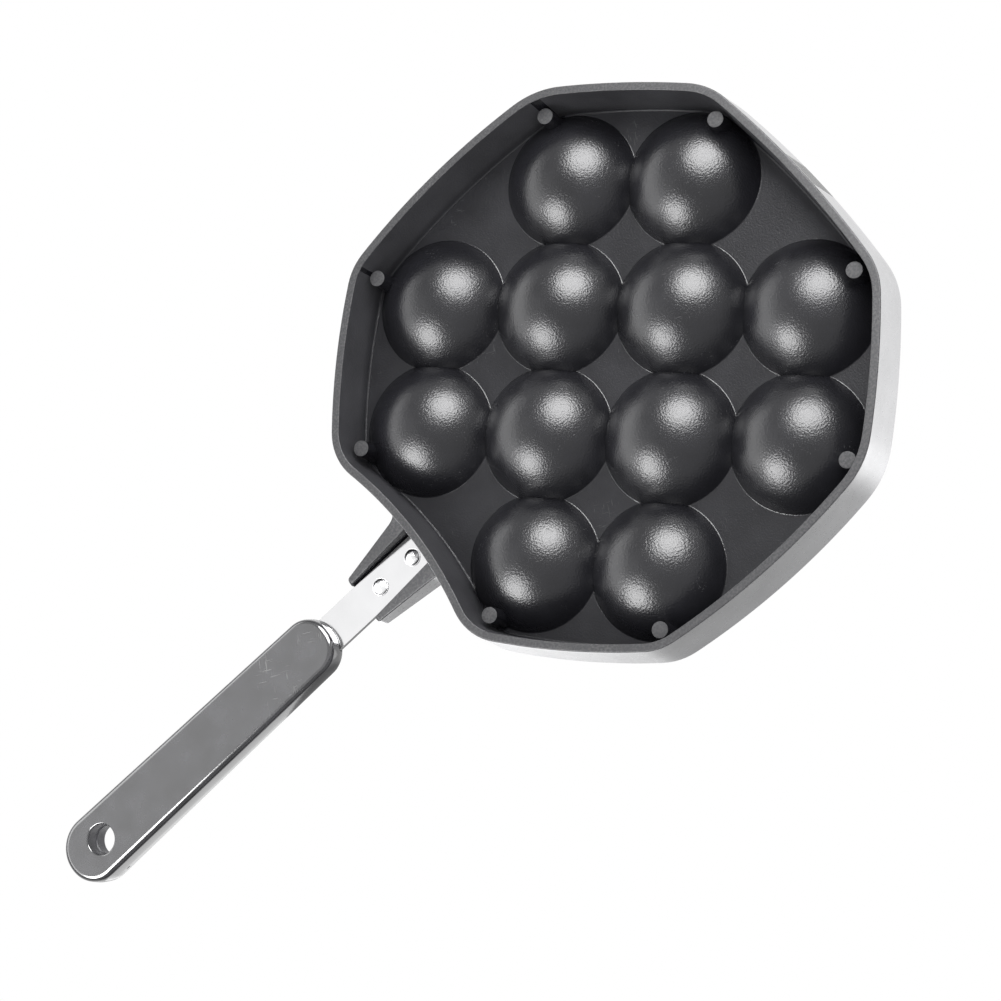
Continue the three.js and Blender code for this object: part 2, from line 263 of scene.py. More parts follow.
def combined(base: Object, tool: Object, how: Solid) -> Object:
    """Join a solid to another or carve it out of it, and delete it.

    Args:
        base: The solid that stays.
        tool: The solid that is used up.
        how: Whether it is joined or carved out.

    Returns:
        The base with its new mesh.
    """
    step = base.modifiers.new(how.name.lower(), "BOOLEAN")
    step.operation = how.value
    step.solver = "MANIFOLD"
    step.object = tool
    baked(base)
    bpy.data.objects.remove(tool)
    return base


def smoothed(made: Object, crease_degrees: float = 30) -> Object:
    """Shade a solid smooth between its creases, so that flat faces stay flat.

    Args:
        made: The object.
        crease_degrees: Turn between two faces past which their edge stays sharp.

    Returns:
        The same object.
    """
    made.data.shade_smooth()
    made.data.set_sharp_from_angle(angle=math.radians(crease_degrees))
    weighting = made.modifiers.new("flat_faces", "WEIGHTED_NORMAL")
    weighting.keep_sharp = True
    return baked(made)


def quarter_round(radius: float, steps: int) -> list[tuple[float, float]]:
    """Steps of an outer corner, as how far each lies in from the side and up from the end.

    Args:
        radius: Radius of the corner.
        steps: Number of steps.

    Returns:
        Distances in from the side and up from the end, starting at the end.
    """
    angles = [QUARTER * k / steps for k in range(steps + 1)]
    return [(radius * (1 - math.sin(angle)), radius * (1 - math.cos(angle))) for angle in angles]


def upright_peg(name: str, diameter: float, low: float, high: float) -> Object:
    """A plain round cutter on the Z axis from one height to another."""
    radius = diameter / 2
    return lathe(name, [(0, low), (radius, low), (radius, high), (0, high)], ROUND_STEPS)


# Node trees, and Geometry Nodes for what repeats


class Nodes:
    """A node tree, with short ways to add and join its nodes."""

    def __init__(self, tree: NodeTree) -> None:
        """Work on a tree."""
        self.tree = tree

    def node(self, kind: str, **settings: object) -> Node:
        """Add a node and set its properties.

        Args:
            kind: Type of the node.
            **settings: Its properties.

        Returns:
            The node.
        """
        made = self.tree.nodes.new(kind)
        for name, value in settings.items():
            setattr(made, name, value)
        return made

    def feed(self, node: Node, entry: str | int, value: object) -> Node:
        """Set an input of a node to a value, or lead a socket to it.

        Args:
            node: The node.
            entry: Name or number of the input.
            value: A value, or an output of another node.

        Returns:
            The same node.
        """
        if isinstance(value, NodeSocket):
            self.tree.links.new(value, node.inputs[entry])
        else:
            node.inputs[entry].default_value = value
        return node

    def sums(self, operation: str, first: object, second: object) -> NodeSocket:
        """Add a math node on two values or sockets.

        Args:
            operation: What it does, such as MULTIPLY.
            first: First value or socket.
            second: Second value or socket.

        Returns:
            Its output.
        """
        made = self.node("ShaderNodeMath", operation=operation)
        self.feed(made, 0, first)
        self.feed(made, 1, second)
        return made.outputs[0]

    def ramp(self, value: NodeSocket, low: float, high: float, start: object = 0,
             end: object = 1, **settings: object) -> NodeSocket:
        """Map a value from a range to another, held at both ends.

        Args:
            value: The socket that is mapped.
            low: Start of its range.
            high: End of its range.
            start: Value or socket that stands for the start.
            end: Value or socket that stands for the end.
            **settings: Properties of the node.

        Returns:
            The mapped value.
        """
        made = self.node("ShaderNodeMapRange", **settings)
        for entry, number in enumerate((value, low, high, start, end)):
            self.feed(made, entry, number)
        return made.outputs["Result"]


class Tree(Nodes):
    """A geometry node tree with named inputs that hands on realised copies in one material."""

    def __init__(self, name: str, **inputs: str) -> None:
        """Start a tree that takes a template's geometry and the material of its copies.

        Args:
            name: Name of the tree.
            **inputs: Kind of each further input by its name, with underscores for blanks.
        """
        super().__init__(bpy.data.node_groups.new(name, "GeometryNodeTree"))
        sides = self.tree.interface
        sides.new_socket("Geometry", in_out="OUTPUT", socket_type="NodeSocketGeometry")
        self.sockets: dict[str, str] = {}
        for key, kind in {"Template": "Geometry", "Finish": "Material", **inputs}.items():
            entry = key.replace("_", " ")
            made = sides.new_socket(entry, in_out="INPUT", socket_type=f"NodeSocket{kind}")
            self.sockets[entry] = made.identifier
        self.source = self.node("NodeGroupInput")

    def given(self, name: str) -> NodeSocket:
        """Output of the group input with that name."""
        return self.source.outputs[name]

    def close(self, points: NodeSocket) -> None:
        """End the tree: copies of the template on the points, realised, in the finish.

        Args:
            points: Geometry whose points take the copies.
        """
        copies = self.feed(self.node("GeometryNodeInstanceOnPoints"), "Points", points)
        self.feed(copies, "Instance", self.given("Template"))
        solid = self.feed(self.node("GeometryNodeRealizeInstances"), "Geometry", copies.outputs["Instances"])
        dressed = self.feed(self.node("GeometryNodeSetMaterial"), "Geometry", solid.outputs["Geometry"])
        self.feed(dressed, "Material", self.given("Finish"))
        self.feed(self.node("NodeGroupOutput"), 0, dressed.outputs["Geometry"])

    def run(self, template: Object, **values: object) -> Object:
        """Run the tree on a template.

        Args:
            template: The object whose mesh is copied.
            **values: Inputs by name, with underscores for blanks.

        Returns:
            The template, now the mesh of all its copies.
        """
        step = template.modifiers.new(self.tree.name, "NODES")
        step.node_group = self.tree
        for name, value in values.items():
            step[self.sockets[name.replace("_", " ")]] = value
        return baked(template)


def cup_grid_tree() -> Tree:
    """Tree that copies a template onto a square grid with its four corners left out, turned and moved.

    Returns:
        The tree, with inputs for pitch, rows, reach, turn and the middle's X.
    """
    tree = Tree("cup_grid", Pitch="Float", Rows="Int", Reach="Float", Turn="Float", Middle_X="Float")
    gaps = tree.sums("SUBTRACT", tree.given("Rows"), 1.0)
    side = tree.sums("MULTIPLY", tree.given("Pitch"), gaps)
    grid = tree.node("GeometryNodeMeshGrid")
    for axis in "XY":
        tree.feed(grid, f"Size {axis}", side)
        tree.feed(grid, f"Vertices {axis}", tree.given("Rows"))
    place = tree.node("GeometryNodeInputPosition").outputs[0]
    distance = tree.feed(tree.node("ShaderNodeVectorMath", operation="LENGTH"), 0, place)
    corner = tree.sums("GREATER_THAN", distance.outputs["Value"], tree.given("Reach"))
    points = tree.feed(tree.node("GeometryNodeDeleteGeometry"), "Geometry", grid.outputs["Mesh"])
    tree.feed(points, "Selection", corner)
    moved = tree.feed(tree.node("GeometryNodeTransform"), "Geometry", points.outputs["Geometry"])
    for entry, axis, name in (("Rotation", "Z", "Turn"), ("Translation", "X", "Middle X")):
        vector = tree.feed(tree.node("ShaderNodeCombineXYZ"), axis, tree.given(name))
        tree.feed(moved, entry, vector.outputs[0])
    tree.close(moved.outputs["Geometry"])
    return tree


def places_tree() -> Tree:
    """Tree that copies a template onto the vertices of another object.

    Returns:
        The tree, with an input for that object.
    """
    tree = Tree("at_places", Places="Object")
    places = tree.feed(tree.node("GeometryNodeObjectInfo"), "Object", tree.given("Places"))
    tree.close(places.outputs["Geometry"])
    return tree


def copies_at(template: Object, places: Sequence[Vector], finish: Material | None = None) -> Object:
    """Copy a template onto places.

    Args:
        template: The object whose mesh is copied.
        places: Where its origin goes.
        finish: Material of the copies.

    Returns:
        The template, now the mesh of all its copies.
    """
    points = mesh_object("places", places, [])
    made = places_tree().run(template, Places=points, Finish=finish)
    bpy.data.objects.remove(points)
    return made


def rivet_holes(low: float, high: float) -> Object:
    """Cutter for the holes of both rivets, from one height to another."""
    peg = upright_peg("holes", LEVELS.shank + 2 * LEVELS.seat, low, high)
    return copies_at(peg, LEVELS.rivet_places)


# The rim's outline


@dataclass(frozen=True)
class Arc:
    """An arc in plan, whose side is 1 where it bulges outwards and -1 where it is hollow."""

    centre: Vector
    radius: float
    side: float
    start: float = 0
    sweep: float = 0

    def between(self, first: Vector, last: Vector) -> Arc:
        """The same circle from one point to another, the short way round.

        Args:
            first: Point at which it starts.
            last: Point at which it ends.

        Returns:
            The new arc.
        """
        start = self.angle(first)
        turn = self.angle(last) - start
        return Arc(self.centre, self.radius, self.side, start, math.atan2(math.sin(turn), math.cos(turn)))

    def angle(self, point: Vector) -> float:
        """Direction of a point from the centre."""
        return math.atan2(point.y - self.centre.y, point.x - self.centre.x)

    def at(self, share: float, offset: float) -> Vector:
        """Point at a share of the sweep, moved outwards by an offset.

        Args:
            share: How far along the arc, from 0 to 1.
            offset: How far outwards.

        Returns:
            The point in plan.
        """
        angle = self.start + self.sweep * share
        reach = self.radius + self.side * offset
        return self.centre + Vector((math.cos(angle), math.sin(angle))) * reach

    def offset_of(self, point: Vector) -> float | None:
        """How far a point lies outside the arc, or None where it isn't beside it.

        Args:
            point: The point in plan.

        Returns:
            The distance, below zero inside, or None.
        """
        turn = (self.angle(point) - self.start) * math.copysign(1, self.sweep)
        if math.atan2(math.sin(turn), math.cos(turn)) % (2 * math.pi) > abs(self.sweep) + MM:
            return None
        return self.side * ((point - self.centre).length - self.radius)


@dataclass
class RimOutline:
    """The rim's outer edge: bowed sides with rounded corners, mirrored about the handle's line."""

    pitch: float = LEVELS.pitch
    centre_x: float = LEVELS.centre_x
    handle_bow_share: float = -0.127
    corner_shares: tuple[tuple[float, float, float, float], ...] = (
        (2.09, 0.91, 0.45, 0.053),
        (1.0, 2.01, 0.48, 0.085),
        (-1.0, 2.0, 0.71, 0.036),
        (-1.99, 1.0, 0.55, 0.066),
    )
    step: float = 2.2 * MM
    least_steps: int = 3
    arcs: list[Arc] = field(default_factory=list)

    def __post_init__(self) -> None:
        """Work out the arcs of the sides and corners."""
        near = list(self.corner_shares)
        bows = [corner[3] for corner in near[:-1]][::-1] + [self.handle_bow_share]
        table = near + [(x, -y, turn, bow) for (x, y, turn, _), bow in zip(reversed(near), bows)]
        corners = [Vector((x, y)) * self.pitch for x, y, _, _ in table]
        rounds = [turn * self.pitch for _, _, turn, _ in table]
        count = len(table)
        sides = [
            self._side(corners[k], corners[(k + 1) % count], table[k][3] * self.pitch)
            for k in range(count)
        ]
        turns = [self._corner(sides[k - 1], sides[k], rounds[k], corners[k]) for k in range(count)]
        for k, (turn, side) in enumerate(zip(turns, sides)):
            after = turns[(k + 1) % count]
            first, last = self._meeting(turn, side), self._meeting(after, side)
            self.arcs.append(turn.between(self._meeting(turn, sides[k - 1]), first))
            self.arcs.append(side.between(first, last))

    @staticmethod
    def _side(start: Vector, end: Vector, bow: float) -> Arc:
        """Arc between two corners whose middle stands out by the bow.

        Args:
            start: First corner.
            end: Next corner, counter-clockwise.
            bow: How far its middle stands out.

        Returns:
            A circle whose sweep is still open.
        """
        chord = end - start
        radius = (chord.length_squared / 4 + bow * bow) / (2 * abs(bow))
        outward = Vector((chord.y, -chord.x)).normalized()
        side = math.copysign(1, bow)
        return Arc((start + end) / 2 + outward * (bow - side * radius), radius, side)

    @staticmethod
    def _corner(before: Arc, after: Arc, radius: float, place: Vector) -> Arc:
        """Arc of a radius that touches both sides from inside, near a place.

        Args:
            before: Side that runs into the corner.
            after: Side that leaves it.
            radius: Radius of the corner.
            place: Where the corner is.

        Returns:
            A circle whose sweep is still open.
        """
        reach = before.radius - before.side * radius
        next_reach = after.radius - after.side * radius
        line = after.centre - before.centre
        along = (reach**2 - next_reach**2 + line.length_squared) / (2 * line.length)
        across = math.sqrt(max(0.0, reach**2 - along**2))
        line.normalize()
        foot = before.centre + line * along
        normal = Vector((-line.y, line.x))
        centres = (foot + normal * across, foot - normal * across)
        return Arc(min(centres, key=lambda point: (point - place).length), radius, 1)

    @staticmethod
    def _meeting(corner: Arc, side: Arc) -> Vector:
        """Where a corner's arc runs into a side's."""
        return side.centre + (corner.centre - side.centre).normalized() * side.radius

    def ring(self, offset: float, height: float) -> Ring:
        """The outline moved outwards and laid at a height.

        Args:
            offset: How far outwards it moves.
            height: Its level.

        Returns:
            As many points for every offset, counter-clockwise.
        """
        ring = []
        for arc in self.arcs:
            steps = max(self.least_steps, math.ceil(abs(arc.sweep) * arc.radius / self.step))
            for k in range(steps):
                x, y = arc.at(k / steps, offset)
                ring.append(Vector((x + self.centre_x, y, height)))
        return ring

    def offset_of(self, x: float, y: float) -> float:
        """How far a point in plan lies outside the rim's outer edge, below zero inside it.

        Args:
            x: Its X.
            y: Its Y.

        Returns:
            The distance to the nearest side or corner that it lies beside.
        """
        point = Vector((x - self.centre_x, y))
        found = [offset for arc in self.arcs if (offset := arc.offset_of(point)) is not None]
        return min(found, key=abs) if found else -1.0


# Finishes


class Shader(Nodes):
    """A material's nodes, with short ways to give it a grain and marks."""

    MIX_COLOURS = (6, 7)
    STROKE_TURNS = (0.5, 2.1)
    STROKE_SPAN = (0.76, 0.82)
    PATCH_SPAN = (0.57, 0.66)
    PATCH_LENGTHS = 4

    def __init__(self, name: str) -> None:
        """Start a material that shows one principled surface.

        Args:
            name: Name of the material.
        """
        self.material = bpy.data.materials.new(name)
        self.material.use_nodes = True
        super().__init__(self.material.node_tree)
        self.surface = self.tree.nodes["Principled BSDF"]
        self.place = self.node("ShaderNodeTexCoord").outputs["Object"]

    def noise(self, size: float, detail: float, stretch: Sequence[float] = (1, 1, 1),
              turn: float = 0) -> NodeSocket:
        """Noise with blots of a size in metres, stretched along the axes and turned about Z.

        Args:
            size: Size of the blots.
            detail: How many finer layers it has.
            stretch: How much longer the blots are along each axis.
            turn: Turn about Z.

        Returns:
            Its value, about 0.5 in the middle.
        """
        scaled = self.node("ShaderNodeMapping", vector_type="TEXTURE")
        self.feed(scaled, "Vector", self.place)
        self.feed(scaled, "Rotation", (0.0, 0.0, turn))
        self.feed(scaled, "Scale", tuple(size * part for part in stretch))
        made = self.node("ShaderNodeTexNoise")
        self.feed(made, "Vector", scaled.outputs[0])
        self.feed(made, "Scale", 1.0)
        self.feed(made, "Detail", detail)
        return made.outputs["Fac"]

    def blend(self, share: object, first: object, second: object) -> NodeSocket:
        """Mix two colours by a share of the second.

        Args:
            share: Share of the second.
            first: Colour or socket.
            second: Colour or socket.

        Returns:
            The mixed colour.
        """
        made = self.node("ShaderNodeMix", data_type="RGBA")
        self.feed(made, 0, share)
        for entry, colour in zip(self.MIX_COLOURS, (first, second)):
            self.feed(made, entry, (*colour, 1) if isinstance(colour, tuple) else colour)
        return made.outputs[2]

    def clouded(self, share: NodeSocket, colour: object, gain: float) -> NodeSocket:
        """Mix a colour with the same one times a gain, by a share of the second.

        Args:
            share: Share of the changed colour.
            colour: Colour or socket.
            gain: What the colour is multiplied by.

        Returns:
            The mixed colour.
        """
        if isinstance(colour, tuple):
            return self.blend(share, colour, tuple(gain * part for part in colour))
        scaled = self.node("ShaderNodeVectorMath", operation="SCALE")
        self.feed(scaled, 0, colour)
        self.feed(scaled, "Scale", gain)
        return self.blend(share, colour, scaled.outputs[0])

    def scratches(self, length: float, width: float) -> NodeSocket:
        """Share of a few short scratches of a length and width in metres, in two directions.

        Args:
            length: Length of a scratch.
            width: Width of a scratch.

        Returns:
            Near 1 on a scratch and 0 elsewhere.
        """
        marks: object = 0.0
        for turn in self.STROKE_TURNS:
            stroke = self.noise(width, 0, (length / width, 1, 1), turn)
            marks = self.sums("MAXIMUM", self.ramp(stroke, *self.STROKE_SPAN), marks)
        rare = self.ramp(self.noise(length * self.PATCH_LENGTHS, 1), *self.PATCH_SPAN)
        return self.sums("MULTIPLY", marks, rare)

    def bump(self, height: NodeSocket, depth: float) -> NodeSocket:
        """Raise the surface by a height that runs from 0 to 1 over a depth in metres.

        Args:
            height: The height.
            depth: How far 1 lies above 0.

        Returns:
            The normal.
        """
        made = self.node("ShaderNodeBump")
        self.feed(made, "Height", height)
        self.feed(made, "Distance", depth)
        return made.outputs["Normal"]

    def dress(self, **inputs: object) -> Material:
        """Feed the surface's inputs.

        Args:
            **inputs: Values or sockets by the input's name, with underscores for blanks.

        Returns:
            The material.
        """
        for name, value in inputs.items():
            is_colour = isinstance(value, tuple) and len(value) == 3
            self.feed(self.surface, name.replace("_", " "), (*value, 1) if is_colour else value)
        return self.material


@dataclass(frozen=True)
class Coating:
    """Black non-stick coating on cast aluminium, with a fine grain and a few scratches.

    Its colour can run to a second one, painted light, from the plate's lower face down to a share of that
    level.
    """

    colour: Colour = (0.01, 0.01, 0.0125)
    painted_light_colour: Colour = (0.01, 0.01, 0.0125)
    painted_light_share: float = 0.75
    gloss: float = 0.35
    roughness: float = 0.22
    roughness_rise: float = 0.05
    roughness_span: Span = (0.3, 0.7)
    haze: float = 0.1
    haze_roughness: float = 0.5
    grain: float = 0.65 * MM
    grain_detail: float = 1.5
    depth: float = 0.115 * MM
    cloud_grains: float = 25
    cloud_detail: float = 4
    cloud_span: Span = (0.35, 0.7)
    cloud_gain: float = 1.4
    scratch_colour: Colour = (0.1, 0.1, 0.105)
    scratch_length: float = 3 * MM
    scratch_width: float = 0.3 * MM

    def build(self, name: str) -> Material:
        """Make the material.

        Args:
            name: Its name.

        Returns:
            The material.
        """
        shader = Shader(name)
        grains = shader.noise(self.grain, self.grain_detail)
        clouds = shader.noise(self.grain * self.cloud_grains, self.cloud_detail)
        height = shader.feed(shader.node("ShaderNodeSeparateXYZ"), 0, shader.place).outputs["Z"]
        # Painted light: the colour turns to the second one down the skirt's inner side, towards the rim.
        thin = shader.ramp(height, LEVELS.skirt, LEVELS.skirt * self.painted_light_share)
        colour = shader.blend(thin, self.colour, self.painted_light_colour)
        colour = shader.clouded(shader.ramp(clouds, *self.cloud_span), colour, self.cloud_gain)
        marks = shader.scratches(self.scratch_length, self.scratch_width)
        rougher = self.roughness + self.roughness_rise
        return shader.dress(
            Base_Color=shader.blend(marks, colour, self.scratch_colour),
            Specular_IOR_Level=self.gloss,
            Roughness=shader.ramp(clouds, *self.roughness_span, self.roughness, rougher),
            Coat_Weight=self.haze,
            Coat_Roughness=self.haze_roughness,
            Normal=shader.bump(grains, self.depth),
        )


# A duller copy of the coating for the plate's lower face and the skirt's inner side. Its colour is painted
# light: lighter than the cups' coating, and lighter still down the skirt towards the rim.
DULL_PAINTED_LIGHT_COATING = Coating((0.033, 0.033, 0.037), (0.068, 0.068, 0.074), gloss=0.12, roughness=0.4, haze=0)


@dataclass(frozen=True)
class SandedCoating:
    """The same coating sanded matt and half through on the rim, the posts' tips and the lug's free faces."""

    colour: Colour = (0.075, 0.075, 0.08)
    bright_colour: Colour = (0.14, 0.14, 0.145)
    grain: float = 0.8 * MM
    grain_span: Span = (0.4, 0.65)
    detail: float = 2
    depth: float = 0.02 * MM
    cloud_grains: float = 16
    cloud_span: Span = (0.3, 0.6)
    least_wear: float = 0.4
    gloss: float = 0.3
    roughness: float = 0.42

    def build(self, name: str) -> Material:
        """Make the material.

        Args:
            name: Its name.

        Returns:
            The material.
        """
        shader = Shader(name)
        grains = shader.noise(self.grain, self.detail)
        clouds = shader.noise(self.grain * self.cloud_grains, self.detail)
        wear = shader.ramp(clouds, *self.cloud_span, self.least_wear)
        worn = shader.sums("MULTIPLY", shader.ramp(grains, *self.grain_span), wear)
        return shader.dress(
            Base_Color=shader.blend(worn, self.colour, self.bright_colour),
            Specular_IOR_Level=self.gloss,
            Roughness=self.roughness,
            Normal=shader.bump(grains, self.depth),
        )


@dataclass(frozen=True)
class BareMetal:
    """Bare metal with faint clouds, and a grain that may be stretched to lines along the handle."""

    colour: Colour
    grain: float
    depth: float
    roughness: Span
    grain_detail: float = 3
    grain_stretch: float = 1
    roughness_span: Span = (0.3, 0.7)
    cloud_grains: float = 50
    cloud_detail: float = 3
    cloud_span: Span = (0.3, 0.7)
    cloud_gain: float = 0.94

    def build(self, name: str) -> Material:
        """Make the material.

        Args:
            name: Its name.

        Returns:
            The material.
        """
        shader = Shader(name)
        grains = shader.noise(self.grain, self.grain_detail, (self.grain_stretch, 1, 1))
        clouds = shader.noise(self.grain * self.cloud_grains, self.cloud_detail)
        return shader.dress(
            Base_Color=shader.clouded(shader.ramp(clouds, *self.cloud_span), self.colour, self.cloud_gain),
            Metallic=1.0,
            Roughness=shader.ramp(grains, *self.roughness_span, *self.roughness),
            Normal=shader.bump(grains, self.depth),
        )


@dataclass(frozen=True)
class BareAluminium(BareMetal):
    """Satin cast aluminium with faint clouds."""

    colour: Colour = (0.66, 0.66, 0.67)
    grain: float = 1.2 * MM
    depth: float = 0.012 * MM
    roughness: Span = (0.26, 0.35)
    grain_detail: float = 4
    cloud_grains: float = 12
    cloud_span: Span = (0.35, 0.7)
    cloud_gain: float = 0.9


@dataclass(frozen=True)
class BrightSteel(BareMetal):
    """Bright flat steel with fine lines along its length."""

    colour: Colour = (0.53, 0.53, 0.535)
    grain: float = 0.25 * MM
    depth: float = 0.003 * MM
    roughness: Span = (0.1, 0.16)
    grain_stretch: float = 60


@dataclass(frozen=True)
class Phenolic:
    """Black phenolic with faint flow clouds and a few fine scratches, glossy unless it is said otherwise."""

    colour: Colour = (0.02, 0.02, 0.023)
    gloss: float = 1.0
    ior: float = 1.6
    roughness: float = 0.11
    roughness_rise: float = 0.02
    roughness_span: Span = (0.3, 0.7)
    cloud: float = 9 * MM
    cloud_detail: float = 4
    cloud_span: Span = (0.35, 0.65)
    cloud_gain: float = 2.2
    scratch_colour: Colour = (0.2, 0.2, 0.2)
    scratch_length: float = 6 * MM
    scratch_width: float = 0.35 * MM

    def build(self, name: str) -> Material:
        """Make the material.

        Args:
            name: Its name.

        Returns:
            The material.
        """
        shader = Shader(name)
        clouds = shader.noise(self.cloud, self.cloud_detail)
        colour = shader.clouded(shader.ramp(clouds, *self.cloud_span), self.colour, self.cloud_gain)
        marks = shader.scratches(self.scratch_length, self.scratch_width)
        rougher = self.roughness + self.roughness_rise
        return shader.dress(
            Base_Color=shader.blend(marks, colour, self.scratch_colour),
            IOR=self.ior,
            Specular_IOR_Level=self.gloss,
            Roughness=shader.ramp(clouds, *self.roughness_span, self.roughness, rougher),
        )


# Pieces


def painted(made: Object, *finishes: Material) -> None:
    """Shade a piece smooth and fill its material slots, in order.

    Args:
        made: The piece.
        *finishes: Materials of its slots.
    """
    smoothed(made)
    made.data.materials.clear()
    for finish in finishes:
        made.data.materials.append(finish)


def kept(made: Object, slot: str, *nodes: str) -> Object:
    """Tie a finished piece to the CAD model and report it.

    Args:
        made: The finished piece.
        slot: Name of a material slot; not used.
        *nodes: CAD nodes that it stands for.

    Returns:
        The piece.
    """
    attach(made, "root")
    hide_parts(*nodes)
    log.info("%s: %d faces, for %s", made.name, len(made.data.polygons), ", ".join(nodes))
    return made


@dataclass
class Lug:
    """The channelled lug that takes the strap."""

    length: float = 31 * MM
    wing_root_width: float = 6.4 * MM
    wing_tip_width: float = 2.5 * MM
    wing_root_depth: float = 8.2 * MM
    wing_tip_depth: float = 4 * MM
    flare: float = 5 * MM
    draft: float = 0.6 * MM
    gap: float = 0.6 * MM
    tip_round: float = 1.4 * MM
    nose_round: float = 3 * MM
    rooted: float = 1.5 * MM
    edge: float = 0.7 * MM
    inner_edge: float = 0.5 * MM
    edge_share: float = 0.45
    nose_share: float = 0.45
    edge_steps: int = 4
    stations: int = 12

    @property
    def channel_half(self) -> float:
        """Half the width of the channel."""
        return LEVELS.strap_width / 2 + self.gap

    @property
    def root_reach(self) -> float:
        """Half the width over the wings where they spread into the wall."""
        return self.channel_half + self.wing_root_width + self.flare

    def _section(self, x: float, half: float, low: float, high: float) -> Ring:
        """Outline of the channel section at a place along the lug.

        Args:
            x: Place along the handle.
            half: Half the width over the wings at their free edges.
            low: Level of the free edges.
            high: Level of the upper face.

        Returns:
            The rounded outline, counter-clockwise seen from the pan.
        """
        floor = LEVELS.channel_floor
        thin = half - self.channel_half
        outer = min(self.edge, thin * self.edge_share)
        inner = min(self.inner_edge, thin * self.edge_share)
        corners = [
            (half + self.draft, high, self.edge), (half, low, outer), (self.channel_half, low, inner),
            (self.channel_half, floor, self.edge),
        ]
        corners += [(-y, z, turn) for y, z, turn in reversed(corners)]
        ring = []
        for k, (y, z, turn) in enumerate(corners):
            here = Vector((y, z))
            before = (Vector(corners[k - 1][:2]) - here).normalized()
            after = (Vector(corners[(k + 1) % len(corners)][:2]) - here).normalized()
            for step in range(self.edge_steps + 1):
                share = step / self.edge_steps
                bend = before * turn * (1 - share) ** 2 + after * turn * share**2
                ring.append(Vector((x, here.x + bend.x, here.y + bend.y)))
        return ring

    def build(self) -> Object:
        """Make the lug as a loft of channel sections that spreads into the wall and rounds off at its tip.

        Returns:
            The closed solid.
        """
        root_half = self.channel_half + self.wing_root_width
        tip_half = self.channel_half + self.wing_tip_width
        floor, top = LEVELS.channel_floor, LEVELS.lug_top
        wall, tip = LEVELS.wall_x, LEVELS.wall_x + self.length
        root = wall - self.rooted

        def half_at(x: float) -> float:
            """Half the width over the wings at a place."""
            return root_half + (tip_half - root_half) * (x - wall) / self.length

        def low_at(x: float) -> float:
            """Level of the free edges at a place."""
            share = (x - root) / (tip - root)
            return floor - self.wing_root_depth + (self.wing_root_depth - self.wing_tip_depth) * share

        rings = [self._section(root, root_half + self.flare, low_at(root), top)]
        for k in range(self.stations + 1):
            share = k / self.stations
            x = wall + self.flare * share**2
            half = (root_half + self.flare) * (1 - share) ** 2 + root_half * 2 * share * (1 - share)
            half += half_at(wall + self.flare) * share**2
            rings.append(self._section(x, half, low_at(x), top))
        start, end = wall + self.flare, tip - self.nose_round
        for k in range(1, self.stations):
            x = start + (end - start) * k / self.stations
            rings.append(self._section(x, half_at(x), low_at(x), top))
        for k in range(self.stations + 1):
            angle = QUARTER * k / self.stations
            x = end + self.nose_round * math.sin(angle)
            nose = self.nose_round * (1 - math.cos(angle)) * self.nose_share
            reach = max(0.0, (x - (tip - self.tip_round)) / self.tip_round)
            inset = self.tip_round * (1 - math.sqrt(1 - min(1.0, reach) ** 2))
            rings.append(self._section(x, half_at(x) - inset, low_at(x) + inset, top - nose))
        return loft("lug", rings)


